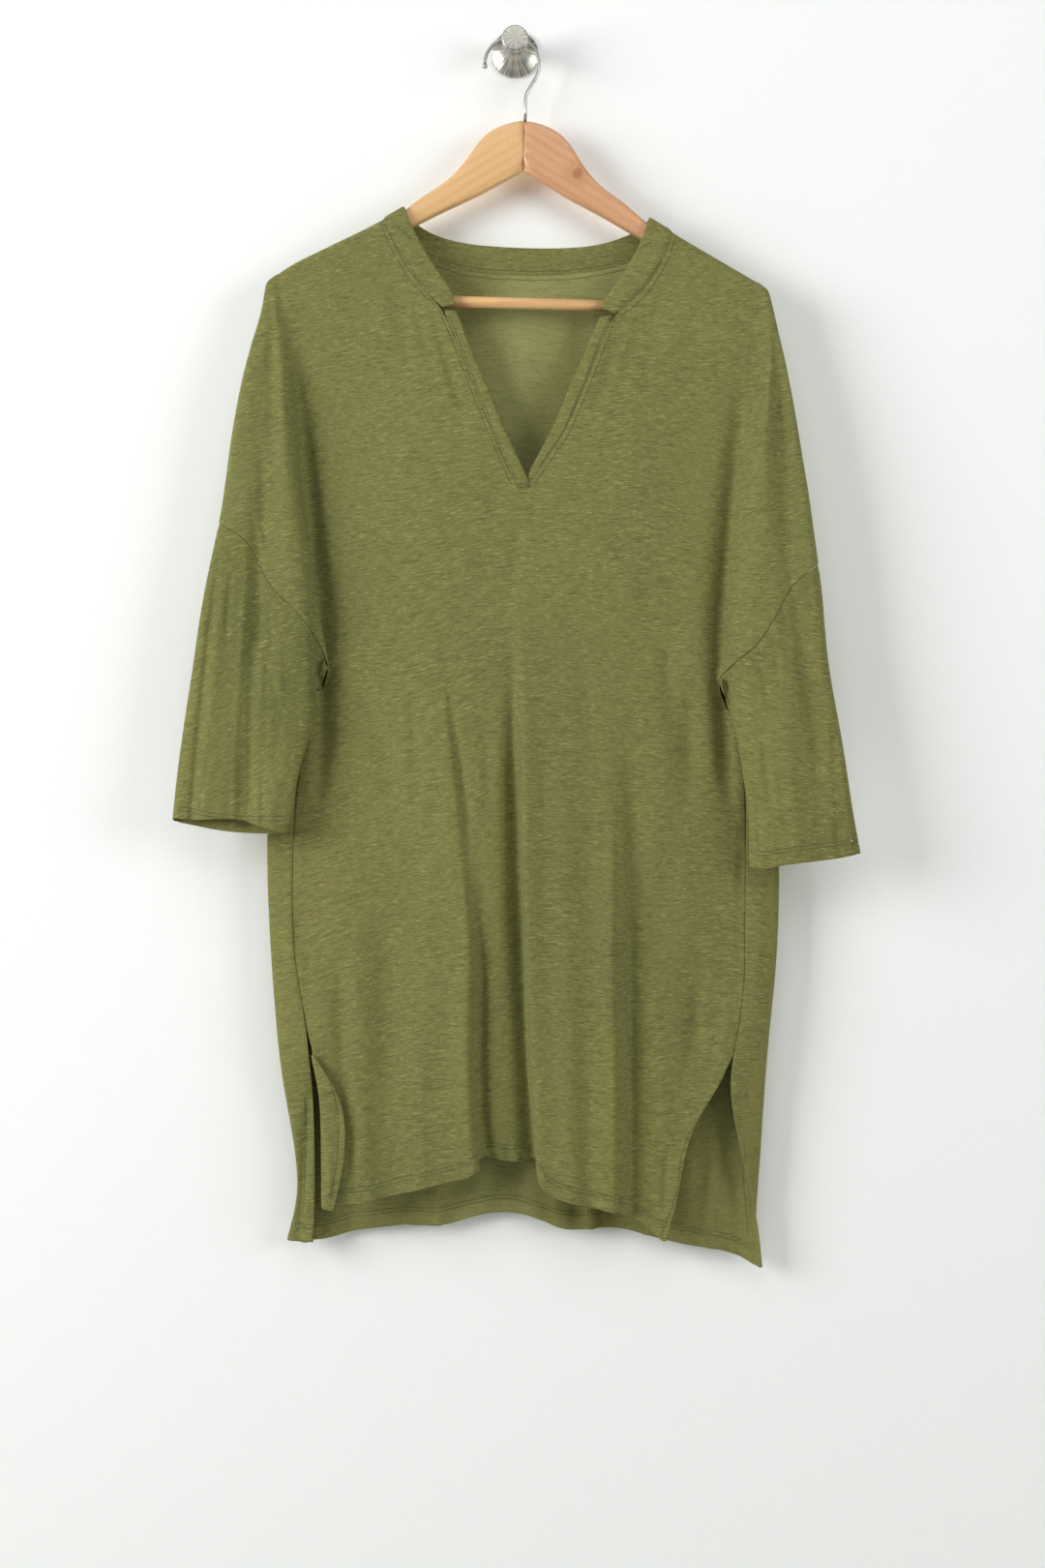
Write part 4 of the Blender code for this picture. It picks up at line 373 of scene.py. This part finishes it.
backFolds = {
    "columns": ("line", "left", "right", "depth", "startSoft", "endSoft"),
    "rows": [
        (((-184, 935), (-188, 980), (-192, 1027), (-197, 1086)), 3.0, 3.5, -1.3, 0.3, 0.0),
        (((203, 1000), (202, 1050), (203, 1100)), 4.0, 4.0, -1.8, 0.5, 0.0),
        (((-120, 320), (-129, 520), (-121, 760), (-127, 1060)), 17.0, 15.0, 2.2, 0.5, 0.0),
        (((-64, 430), (-70, 700), (-60, 1060)), 15.0, 18.0, -2.0, 0.5, 0.0),
        (((-30, 760), (-26, 900), (-30, 1050)), 10.0, 9.0, 1.6, 0.5, 0.0),
        (((22, 380), (14, 640), (23, 1050)), 16.0, 14.0, 1.9, 0.5, 0.0),
        (((58, 800), (60, 940), (57, 1060)), 9.0, 11.0, -1.7, 0.5, 0.0),
        (((90, 430), (98, 720), (92, 1060)), 17.0, 15.0, -2.1, 0.5, 0.0),
        (((151, 350), (160, 600), (152, 920)), 14.0, 15.0, 1.8, 0.5, 0.5),
        (((-196, 232), (-152, 330), (-112, 424)), 11.0, 10.0, 1.3, 0.4, 0.6),
        (((202, 240), (160, 340), (118, 432)), 10.0, 11.0, 1.3, 0.4, 0.6),
        (((-172, 566), (-124, 602), (-66, 614)), 9.0, 8.0, 1.2, 0.4, 0.6),
        (((182, 578), (134, 618), (72, 628)), 8.0, 9.0, 1.2, 0.4, 0.6),
        (((-196, 640), (-150, 700), (-112, 730)), 9.0, 9.0, -1.0, 0.4, 0.6),
        (((205, 650), (160, 716), (128, 742)), 9.0, 9.0, -1.0, 0.4, 0.6),
        (((-52, 208), (-44, 262), (-46, 310)), 9.0, 8.0, -0.9, 0.3, 0.6),
        (((66, 208), (60, 266), (63, 320)), 8.0, 9.0, -0.9, 0.3, 0.6),
        (((8, 214), (4, 300), (10, 372)), 11.0, 11.0, 0.8, 0.3, 0.6),
        (((-206, 700), (-203, 800), (-200, 900)), 6.0, 6.0, 1.1, 0.5, 0.5),
        (((222, 720), (219, 820), (214, 920)), 6.0, 6.0, 1.1, 0.5, 0.5),
        (((168, 950), (178, 1010), (180, 1092)), 7.0, 7.0, 1.4, 0.5, 0.0),
        (((-150, 960), (-148, 1010), (-152, 1076)), 8.0, 8.0, -1.3, 0.5, 0.0),
        # crumples at the slits and the hem, where the front hangs shorter
        (((166, 955), (172, 1000), (168, 1050)), 3.0, 3.5, -1.2, 0.4, 0.4),
        (((181, 930), (184, 985), (190, 1040)), 3.5, 3.0, 1.1, 0.4, 0.4),
        (((158, 1000), (160, 1040), (155, 1085)), 3.0, 3.0, 0.9, 0.4, 0.3),
        (((192, 960), (196, 1010), (204, 1060)), 3.0, 3.0, -1.1, 0.4, 0.3),
        (((176, 1020), (186, 1045), (199, 1062)), 4.0, 4.0, 0.8, 0.4, 0.4),
        (((-199, 950), (-198, 1000), (-202, 1050)), 2.5, 2.5, 0.8, 0.4, 0.3),
        (((-178, 990), (-176, 1030), (-180, 1075)), 3.0, 3.0, -0.9, 0.4, 0.3),
        (((-70, 1010), (-68, 1045), (-70, 1080)), 6.0, 5.0, 1.6, 0.4, 0.0),
        (((-102, 1020), (-104, 1050), (-101, 1085)), 5.0, 6.0, -1.3, 0.4, 0.0),
        (((22, 1005), (26, 1040), (30, 1072)), 5.0, 4.0, -1.7, 0.4, 0.0),
        (((66, 1020), (68, 1055), (72, 1088)), 5.0, 4.0, 1.8, 0.4, 0.0),
        # the backs of the arms
        (((-236, 300), (-243, 400), (-240, 500), (-256, 600), (-262, 706)), 8.0, 9.0, 1.3, 0.4, 0.0),
        (((-224, 520), (-226, 600), (-236, 706)), 6.0, 6.0, -1.0, 0.4, 0.0),
        (((244, 310), (252, 410), (250, 520), (270, 640), (276, 728)), 9.0, 8.0, 1.3, 0.4, 0.0),
        (((226, 540), (232, 620), (240, 730)), 6.0, 6.0, -1.0, 0.4, 0.0),
    ],
}


def foldDepth(folds, x, drop):
    total = np.zeros_like(x)
    for row in folds["rows"]:
        line = dict(zip(folds["columns"], row))
        points = [np.array(p, dtype=float) for p in line["line"]]
        lengths = [np.linalg.norm(b - a) for a, b in zip(points, points[1:])]
        whole = sum(lengths)
        nearest = np.full_like(x, 1e9)
        side = np.zeros_like(x)
        along = np.zeros_like(x)
        before = 0.0
        for a, b, length in zip(points, points[1:], lengths):
            stepX, stepDrop = (b - a) / length
            run = np.clip((x - a[0]) * stepX + (drop - a[1]) * stepDrop, 0.0, length)
            awayX, awayDrop = x - (a[0] + run * stepX), drop - (a[1] + run * stepDrop)
            away = np.hypot(awayX, awayDrop)
            closer = away < nearest
            nearest = np.where(closer, away, nearest)
            side = np.where(closer, awayX * stepDrop - awayDrop * stepX, side)
            along = np.where(closer, (before + run) / whole, along)
            before += length
        width = np.where(side < 0.0, line["left"], line["right"])
        shape = np.exp(-(nearest / width) ** 2)
        for soft, place in ((line["startSoft"], along), (line["endSoft"], 1.0 - along)):
            if soft > 0.0:
                t = np.clip(place / soft, 0.0, 1.0)
                shape = shape * t * t * (3.0 - 2.0 * t)
        total += line["depth"] * shape
    return total


# the arms are thin: shallower folds
foldScale = {"body": 2.7, "arms": 1.5, "middle": 3.0, "from": 186.0, "to": 212.0}


def foldDeepening(x):
    away = np.abs(x - foldScale["middle"])
    t = np.clip((away - foldScale["from"]) / (foldScale["to"] - foldScale["from"]), 0.0, 1.0)
    return foldScale["body"] + (foldScale["arms"] - foldScale["body"]) * t


# the slight unevenness that hanging jersey always has: how wide and how tall each wave is, in mm
waveSizes = {"wide": 46.0, "tall": 92.0, "fineWide": 19.0, "fineTall": 37.0, "fineShare": 0.5}


def softWaves(x, drop, seed, height):
    values = []
    for a, b in zip(x, drop):
        large = noise.noise(Vector((a / waveSizes["wide"] + seed, b / waveSizes["tall"], seed)))
        fine = noise.noise(Vector((a / waveSizes["fineWide"], b / waveSizes["fineTall"] + seed, seed)))
        values.append(large + waveSizes["fineShare"] * fine)
    return height * np.array(values)


# Lengths in metres, angles in radians
smoothing = {"weld": 0.00001, "pairAngle": 0.7, "pairShape": 1.1, "rimWidth": 0.0023, "sharpTurn": 0.6,
             "crispness": 0.7}


def copyOfNode(nodeName, pieceName, levels):
    # the node's own surface, its triangles paired again, smoothed by subdivision
    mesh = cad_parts[nodeName].data.copy()
    work = bmesh.new()
    work.from_mesh(mesh)
    bmesh.ops.remove_doubles(work, verts=work.verts, dist=smoothing["weld"])
    if levels:
        bmesh.ops.join_triangles(work, faces=work.faces, angle_face_threshold=smoothing["pairAngle"],
                                 angle_shape_threshold=smoothing["pairShape"])
    hold = work.verts.layers.float.get("crease_vert") or work.verts.layers.float.new("crease_vert")
    for edge in work.edges:
        # the short edges across a rim where its outline turns sharply: keep such corners crisp
        if len(edge.link_faces) != 2 or edge.calc_length() >= smoothing["rimWidth"]:
            continue
        shortest = [min(e.calc_length() for e in face.edges) for face in edge.link_faces]
        if max(shortest) < smoothing["rimWidth"] and edge.calc_face_angle(0.0) > smoothing["sharpTurn"]:
            for vert in edge.verts:
                vert[hold] = smoothing["crispness"]
    work.to_mesh(mesh)
    work.free()
    piece = bpy.data.objects.new(pieceName, mesh)
    scene.collection.objects.link(piece)
    finer = piece.modifiers.new("finer", "SUBSURF")
    finer.levels = finer.render_levels = levels
    bpy.context.view_layer.update()
    done = bpy.data.meshes.new_from_object(piece.evaluated_get(bpy.context.evaluated_depsgraph_get()))
    piece.modifiers.clear()
    piece.data = done
    piece.data.materials.clear()
    piece.data.shade_smooth()
    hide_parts(nodeName)
    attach(piece, "root")
    return piece


def coordinates(piece):
    flat = np.empty(len(piece.data.vertices) * 3)
    piece.data.vertices.foreach_get("co", flat)
    return flat.reshape(-1, 3)


# How each cloth piece is cut and dressed. flat is the cut's width and length in metres
clothPieces = {
    "front": {"piece": "tunicFront", "levels": 2, "layer": "front", "cloth": linenBody, "waves": 0.9,
              "flat": (0.55, 0.93), "area": 0.37, "slot": "linen_knit"},
    "back": {"piece": "tunicBack", "levels": 2, "layer": "back", "cloth": linenBody, "waves": 1.3,
             "flat": (0.56, 0.96), "area": 0.45, "slot": "linen_knit"},
    "sleeve_left": {"piece": "sleeveLeft", "levels": 3, "layer": "both", "cloth": linenLeftShaded, "waves": 0.7,
                    "flat": (0.24, 0.28), "area": 0.0525, "slot": "linen_knit"},
    "sleeve_right": {"piece": "sleeveRight", "levels": 3, "layer": "both", "cloth": linenRightShaded, "waves": 0.7,
                     "flat": (0.23, 0.275), "area": 0.0445, "slot": "linen_knit"},
    "neckband": {"piece": "collarBand", "levels": 2, "layer": "band", "cloth": linenTrim, "waves": 0.3,
                 "flat": (0.47, 0.024), "area": None, "slot": "linen_knit"},
    "placket_left": {"piece": "placketLeft", "levels": 2, "layer": "front", "cloth": linenTrim, "waves": 0.9,
                     "flat": (0.0115, 0.17), "area": None, "slot": "linen_knit"},
    "placket_right": {"piece": "placketRight", "levels": 2, "layer": "front", "cloth": linenTrim,
                      "waves": 0.9, "flat": (0.0115, 0.16), "area": None, "slot": "linen_knit"},
}
# Where front folds give way to back folds, in mm out from the wall, and where the wood holds the cloth firm
armTurn = {"from": 51.6, "over": 1.6}
bandTurn = {"from": 31.0, "over": 4.0}
heldFirm = {"top": 118.0, "middle": 9.0, "slope": 0.42, "over": 45.0}
frontWaves = 0.9
waveSeeds = {"front": 3.1, "back": 8.7}
cloths = {}
for nodeName, cut in clothPieces.items():
    piece = copyOfNode(nodeName, cut["piece"], cut["levels"])
    piece.data.materials.append(cut["cloth"])
    points = coordinates(piece)
    x, out, drop = points[:, 0] / mm, -points[:, 1] / mm, -points[:, 2] / mm
    frontShare = {"front": np.ones_like(x), "back": np.zeros_like(x),
                  "both": np.clip((out - armTurn["from"]) / armTurn["over"], 0.0, 1.0),
                  "band": np.clip((out - bandTurn["from"]) / bandTurn["over"], 0.0, 1.0)}[cut["layer"]]
    woodDrop = heldFirm["top"] + np.abs(x - heldFirm["middle"]) * heldFirm["slope"]
    loose = np.clip((drop - woodDrop) / heldFirm["over"], 0.0, 1.0)
    deeper = foldDeepening(x)
    frontMove = deeper * foldDepth(frontFolds, x, drop) + softWaves(x, drop, waveSeeds["front"], frontWaves)
    backMove = deeper * foldDepth(backFolds, x, drop) + softWaves(x, drop, waveSeeds["back"], cut["waves"])
    move = (frontShare * frontMove + (1.0 - frontShare) * backMove) * loose
    points[:, 1] -= move * mm
    piece.data.vertices.foreach_set("co", points.reshape(-1))
    piece.data.update()
    cloths[nodeName] = piece
    faces = piece.data.polygons
    half = sum(face.area for face in faces) / 2.0
    print(cut["piece"], "half of its surface:", round(half, 4), "square metres,", len(faces), "faces")


def surfaceOf(piece):
    return BVHTree.FromPolygons([v.co.copy() for v in piece.data.vertices],
                                [tuple(f.vertices) for f in piece.data.polygons])


# Seams: each edge is drawn up to the piece it is sewn or butted to. Distances in millimetres
seamClosing = {"left": 0.3, "full": 2.4, "reach": 5.0}
sewnTo = {
    "front": ["back"],
    "sleeve_left": ["front", "back"],
    "sleeve_right": ["front", "back"],
    "neckband": ["front", "back"],
    "placket_left": ["front", "neckband"],
    "placket_right": ["front", "neckband"],
}


def drawUpTo(piece, other):
    target = surfaceOf(other)
    for vert in piece.data.vertices:
        place, _, _, away = target.find_nearest(vert.co, seamClosing["reach"] * mm)
        if place is None or away < seamClosing["left"] * mm:
            continue
        t = min(1.0, (seamClosing["reach"] - away / mm) / (seamClosing["reach"] - seamClosing["full"]))
        share = t * t * (3.0 - 2.0 * t)
        vert.co = vert.co.lerp(place, share * (1.0 - seamClosing["left"] * mm / away))
    piece.data.update()


for nodeName, others in sewnTo.items():
    for other in others:
        drawUpTo(cloths[nodeName], cloths[other])

# The back's wrong side, where it shows through the neck, in a paler linen: partly its own smoother look,
# partly painted light on the inside of the back. Faces turned to the front, in metres
wrongSide = {"turned": -0.2, "nearest": -0.033, "fromX": -0.17, "toX": 0.235}
inner = cloths["back"].data
inner.materials.append(linenInsideLit)
for face in inner.polygons:
    inward = face.normal.y < wrongSide["turned"] and face.center.y > wrongSide["nearest"]
    if inward and wrongSide["fromX"] < face.center.x < wrongSide["toX"]:
        face.material_index = 1
print("cloth dressed and sewn")

surfaces = {name: surfaceOf(piece) for name, piece in cloths.items()}
ray = {"behind": 0.1, "before": -0.2, "long": 0.4}  # in metres


def onCloth(nodeName, x, drop, fromBehind=False):
    # the point of a cloth's face that meets the viewer, or the wall, and the way it faces
    facing = 1.0 if fromBehind else -1.0
    start = Vector((x * mm, ray["behind"] if fromBehind else ray["before"], -drop * mm))
    place, normal, _, _ = surfaces[nodeName].ray_cast(start, Vector((0.0, -facing, 0.0)), ray["long"])
    if place is None:
        return None
    return place, normal if normal.y * facing > 0.0 else -normal


def edgeLine(nodeName, fromX, toX, lowest, highest, fromBehind=False, step=4.0):
    # the lower edge of a cloth between two places across, as (x, drop) points
    count = max(2, int(abs(toX - fromX) / step))
    found = []
    for i in range(count + 1):
        x = fromX + (toX - fromX) * i / count
        drop = lowest
        while drop > highest and onCloth(nodeName, x, drop, fromBehind) is None:
            drop -= 1.0
        if drop > highest:
            found.append((x, drop))
    smooth = []
    for i, (x, drop) in enumerate(found):
        near = [d for _, d in found[max(0, i - 2):i + 3]]
        smooth.append((x, sum(near) / len(near)))
    return smooth


# real thread is 0.3 mm thick: drawn coarser so that it shows
stitchSizes = {"long": 2.2, "pitch": 3.0, "thick": 0.8, "proud": 0.1, "twinGap": 3.5,
               "ahead": 0.4, "jump": 1.2}
# each ring: where it lies along the stitch, and how thick the thread is there
stitchShape = {"rings": ((-0.5, 0.45), (-0.3, 1.0), (0.3, 1.0), (0.5, 0.45)),
               "sides": 6, "wide": 0.5, "high": 0.35}


def addStitch(work, place, normal, forward, long, thick):
    across = normal.cross(forward).normalized()
    forward = across.cross(normal).normalized()
    middle = place + normal * (stitchSizes["proud"] * mm)
    sides = stitchShape["sides"]
    rings = []
    for along, scale in stitchShape["rings"]:
        ring = []
        for turn in range(sides):
            angle = math.tau * turn / sides
            ring.append(work.verts.new(
                middle + forward * (along * long * mm)
                + across * (stitchShape["wide"] * thick * scale * mm * math.cos(angle))
                + normal * (stitchShape["high"] * thick * scale * mm * math.sin(angle))))
        rings.append(ring)
    for first, second in zip(rings, rings[1:]):
        for i in range(sides):
            j = (i + 1) % sides
            work.faces.new((first[i], first[j], second[j], second[i]))
    work.faces.new(rings[0][::-1])
    work.faces.new(rings[-1])


def stitchRow(work, nodeName, line, fromBehind=False):
    # evenly spaced stitches along a line of (x, drop) points, laid on the cloth
    pitch = stitchSizes["pitch"]
    left = 0.5 * pitch
    for (x1, drop1), (x2, drop2) in zip(line, line[1:]):
        length = math.hypot(x2 - x1, drop2 - drop1)
        run = left
        while run < length:
            t = run / length
            x, drop = x1 + (x2 - x1) * t, drop1 + (drop2 - drop1) * t
            here = onCloth(nodeName, x, drop, fromBehind)
            ahead = onCloth(nodeName, x + stitchSizes["ahead"] * (x2 - x1) / length,
                            drop + stitchSizes["ahead"] * (drop2 - drop1) / length, fromBehind)
            if here and ahead and (ahead[0] - here[0]).length < stitchSizes["jump"] * mm:
                addStitch(work, here[0], here[1], (ahead[0] - here[0]).normalized(), stitchSizes["long"],
                          stitchSizes["thick"])
            run += pitch
        left = run - length


def finishStitches(work, pieceName, thread):
    mesh = bpy.data.meshes.new(pieceName)
    work.to_mesh(mesh)
    work.free()
    made = bpy.data.objects.new(pieceName, mesh)
    scene.collection.objects.link(made)
    mesh.materials.append(thread)
    mesh.shade_smooth()
    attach(made, "root")
    return made


def raised(line, by):
    return [(x, drop - by) for x, drop in line]


# Twin-needle hems: two rows a few millimetres apart. Each edge: from x, to x, lowest and highest drop
hemRows = {
    "front": [(-168.0, 134.0, 1095.0, 985.0, 11.0)],
    "back": [(-208.0, 220.0, 1125.0, 1040.0, 12.0)],
    "sleeve_left": [(-300.0, -206.0, 745.0, 690.0, 11.0)],
    "sleeve_right": [(214.0, 304.0, 775.0, 715.0, 11.0)],
}
# Rows that follow seams and slits, as (x, drop) points
seamRows = {
    "front": [
        ((187, 946), (168, 968), (156, 984), (149, 1006), (147, 1028), (141, 1050), (131, 1076)),
        ((-166, 938), (-161, 952), (-158, 968), (-159, 1004), (-162, 1022), (-165, 1038)),
        ((-122.5, 161), (-117.0, 176), (-106.5, 197), (-93.0, 219), (-80.0, 232), (-70.5, 240)),
        ((145.5, 173), (140.5, 190), (132.0, 209), (120.0, 227), (106.0, 241), (94.0, 249)),
        ((-67.5, 245), (-56.5, 271), (-40.5, 313), (-24.5, 353), (-9.5, 387), (-3.0, 401)),
        ((91.0, 249), (82.5, 271), (66.5, 313), (49.5, 353), (26.5, 387), (17.0, 400)),
    ],
    "back": [
        ((-190, 952), (-190, 1000), (-192, 1060)),
        ((207, 990), (208, 1030), (212, 1080)),
        ((-97, 183), (-73, 197.5), (-47, 205.5), (-19, 209), (16, 210.5), (49, 209.5), (79, 205.5),
         (105, 199.5)),
    ],
    "neckband": [
        ((-110, 164), (-98, 174.5), (-74, 189), (-48, 197), (-20, 200.5), (15, 202), (48, 201), (78, 197),
         (104, 191), (124, 181)),
        ((-115.0, 175), (-101.5, 192), (-88.5, 214), (-75.5, 227)),
        ((139.0, 188), (127.5, 204), (115.5, 222), (101.5, 236)),
    ],
    "placket_left": [
        ((-60.0, 248), (-50.5, 270), (-34.5, 312), (-18.5, 352), (-3.5, 386), (2.5, 399)),
        ((0.5, 399.5), (12.5, 399.5)),
        ((1.0, 402.5), (13.5, 402.5)),
    ],
    "placket_right": [
        ((84.5, 250), (76.5, 270), (60.5, 312), (43.5, 352), (21.5, 385)),
    ],
}
outerSeamRows = {"back": seamRows["back"]}  # these show on the side to the wall too
for nodeName in cloths:
    work = bmesh.new()
    for fromX, toX, lowest, highest, rise in hemRows.get(nodeName, ()):
        for behind in (False, True):
            if behind and nodeName == "front":
                continue
            edge = edgeLine(nodeName, fromX, toX, lowest, highest, behind)
            for lift in (rise, rise + stitchSizes["twinGap"]):
                stitchRow(work, nodeName, raised(edge, lift), behind)
    for line in seamRows.get(nodeName, ()):
        stitchRow(work, nodeName, line)
    for line in outerSeamRows.get(nodeName, ()):
        stitchRow(work, nodeName, line, True)
    made = finishStitches(work, clothPieces[nodeName]["piece"] + "Stitches", oliveThreadShaded)
    print(made.name, len(made.data.polygons), "faces")

# Two hand tacks that hold the right cuff's hem
tacks = {"long": 3.2, "thick": 0.8,
         "places": (((297.5, 718.0), (300.5, 720.5)), ((304.5, 721.0), (307.0, 723.5)))}
work = bmesh.new()
for (x1, drop1), (x2, drop2) in tacks["places"]:
    here, there = onCloth("sleeve_right", x1, drop1), onCloth("sleeve_right", x2, drop2)
    if here and there:
        addStitch(work, (here[0] + there[0]) / 2.0, here[1], (there[0] - here[0]).normalized(),
                  tacks["long"], tacks["thick"])
if len(work.verts):
    finishStitches(work, "cuffTacks", tackThread)
print("stitches laid")

# Hanger: two planed halves butted at the middle, and a dowel
woods = {}
hangerPieces = {
    "hanger_arm_left": {"piece": "hangerHalfLeft", "looks": "pale", "levels": 2, "slot": "pale_wood"},
    "hanger_arm_right": {"piece": "hangerHalfRight", "looks": "pink", "levels": 2, "slot": "pink_wood"},
    "hanger_bar": {"piece": "hangerDowel", "looks": "bar", "levels": 0, "slot": "bar_wood"},
}
for nodeName, part in hangerPieces.items():
    piece = copyOfNode(nodeName, part["piece"], part["levels"])
    piece.data.materials.append(lacqueredBeech("lacquered beech, " + part["looks"], woodLooks[part["looks"]]))
    piece.data.set_sharp_from_angle(angle=math.radians(60.0))
    woods[nodeName] = piece
drawUpTo(woods["hanger_arm_right"], woods["hanger_arm_left"])

hook = copyOfNode("hanger_hook", "hookWire", 0)
hook.data.materials.append(brightWire("bright drawn wire"))
shank = {"below": -0.06, "deeper": 0.003}  # in metres: the wire's foot is set into the wood
for vert in hook.data.vertices:
    if vert.co.z < shank["below"]:
        vert.co.z -= shank["deeper"]

# Wall knob: out from the wall and radius, in mm, turned round the y axis
knobShape = {
    "sides": 96,
    "profile": ((0.0, 21.5), (2.0, 21.5), (2.5, 21.3), (2.8, 20.8), (4.5, 17.0), (7.5, 12.6), (11.5, 9.4),
                (16.0, 7.3), (21.0, 6.3), (26.0, 6.3), (30.0, 7.2), (34.0, 8.9), (38.0, 10.8), (41.5, 11.9),
                (44.6, 12.0), (45.4, 11.7), (45.9, 11.0), (46.0, 10.0), (46.0, 4.0), (46.0, 0.6)),
}
work = bmesh.new()
rings = []
turns = [math.tau * i / knobShape["sides"] for i in range(knobShape["sides"])]
for out, radius in knobShape["profile"]:
    rings.append([work.verts.new((radius * mm * math.cos(turn), -out * mm, radius * mm * math.sin(turn)))
                  for turn in turns])
for first, second in zip(rings, rings[1:]):
    for i in range(len(first)):
        j = (i + 1) % len(first)
        work.faces.new((first[i], first[j], second[j], second[i]))
work.faces.new(rings[0])
work.faces.new(rings[-1])
bmesh.ops.recalc_face_normals(work, faces=work.faces)
knobMesh = bpy.data.meshes.new("turnedKnob")
work.to_mesh(knobMesh)
work.free()
knob = bpy.data.objects.new("turnedKnob", knobMesh)
scene.collection.objects.link(knob)
knobMesh.materials.append(brushedSteel("brushed stainless steel, turned"))
knobMesh.shade_smooth()
knobMesh.set_sharp_from_angle(angle=math.radians(40.0))
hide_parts("wall_knob")
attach(knob, "root")
print("hanger, hook and knob done")

# Room: a white wall that the knob is fixed to, and a pale floor well below, in matt emulsion paint laid on
# with a roller, which gives the eye a faint stipple and no shine. Places in metres
room = {"wall": "#e8eae8", "floor": "#e6e5e0", "sky": "#f6f7f8", "skyStrength": 0.2,
        "stippleMm": (4.0, 4.0, 4.0), "stippleShade": 0.97,
        "side": 3.0, "behindKnob": 0.0006, "floorZ": -2.6, "topZ": 2.0, "nearY": -4.0}


def plainSheet(name, corners, hexColour):
    mesh = bpy.data.meshes.new(name)
    mesh.from_pydata(corners, [], [(0, 1, 2, 3)])
    made = bpy.data.objects.new(name, mesh)
    scene.collection.objects.link(made)
    paint, tree, shader = startMaterial(name + ", matt emulsion paint")
    coords = addNode(tree, "ShaderNodeTexCoord").outputs["Object"]
    stipple = stretchedNoise(tree, coords, room["stippleMm"], 2.0)
    dark = tuple(c * room["stippleShade"] for c in linear(hexColour)[:3]) + (1.0,)
    colour = addNode(tree, "ShaderNodeMix", {"data_type": "RGBA"}, {
        0: stipple, 6: dark, 7: linear(hexColour)})
    tree.links.new(colour.outputs[2], shader.inputs["Base Color"])
    shader.inputs["Roughness"].default_value = 0.9
    mesh.materials.append(paint)
    return tree, shader


side, wallY, low, high = room["side"], room["behindKnob"], room["floorZ"], room["topZ"]
tree, shader = plainSheet("wall", [(-side, wallY, low), (side, wallY, low), (side, wallY, high),
                                   (-side, wallY, high)], room["wall"])
# the wall shows only from the room's side, so that the tunic can be seen from behind
clear = addNode(tree, "ShaderNodeBsdfTransparent")
face = addNode(tree, "ShaderNodeNewGeometry")
path = addNode(tree, "ShaderNodeLightPath")
seeThrough = addNode(tree, "ShaderNodeMath", {"operation": "MAXIMUM"},
                     {0: face.outputs["Backfacing"], 1: path.outputs["Is Shadow Ray"]})
oneSided = addNode(tree, "ShaderNodeMixShader", None, {
    0: seeThrough.outputs["Value"], 1: shader.outputs["BSDF"], 2: clear.outputs["BSDF"]})
tree.links.new(oneSided.outputs["Shader"], tree.nodes["Material Output"].inputs["Surface"])
near = room["nearY"]
plainSheet("floor", [(-side, side, low), (-side, near, low), (side, near, low), (side, side, low)],
           room["floor"])

# Studio light: two large soft lights at the sides, a weak one from above the camera, and one behind the wall
# for views of the back. All aim at the tunic's middle
lightAim = Vector((0.0, 0.0, -0.55))
lightSet = {
    "leftSoft": {"at": (-2.4, -1.5, 0.0), "size": 1.5, "watts": 80.0},
    "rightSoft": {"at": (2.5, -1.9, 0.0), "size": 1.6, "watts": 42.0},
    "topSoft": {"at": (0.0, -2.2, 1.5), "size": 2.0, "watts": 26.0},
    "behindSoft": {"at": (0.9, 2.4, 0.3), "size": 1.6, "watts": 62.0},
}
for name, light in lightSet.items():
    data = bpy.data.lights.new(name, "AREA")
    data.size = light["size"]
    data.energy = light["watts"]
    lamp = bpy.data.objects.new(name, data)
    lamp.location = light["at"]
    lamp.rotation_mode = "QUATERNION"
    lamp.rotation_quaternion = (lightAim - Vector(light["at"])).to_track_quat("-Z", "Y")
    scene.collection.objects.link(lamp)
world = bpy.data.worlds.new("studio")
scene.world = world
world.use_nodes = True
world.node_tree.nodes["Background"].inputs["Color"].default_value = linear(room["sky"])
world.node_tree.nodes["Background"].inputs["Strength"].default_value = room["skyStrength"]
scene.view_settings.view_transform = "Standard"

cameraSet = {"at": (0.00676, -2.0, -0.6695), "lens": 50.0, "sensor": 36.0}
cameraData = bpy.data.cameras.new("photoCamera")
cameraData.lens = cameraSet["lens"]
cameraData.sensor_width = cameraSet["sensor"]
camera = bpy.data.objects.new("photoCamera", cameraData)
camera.location = cameraSet["at"]
camera.rotation_euler = (math.radians(90.0), 0.0, 0.0)
scene.collection.objects.link(camera)
scene.camera = camera
print("room, light and camera set")
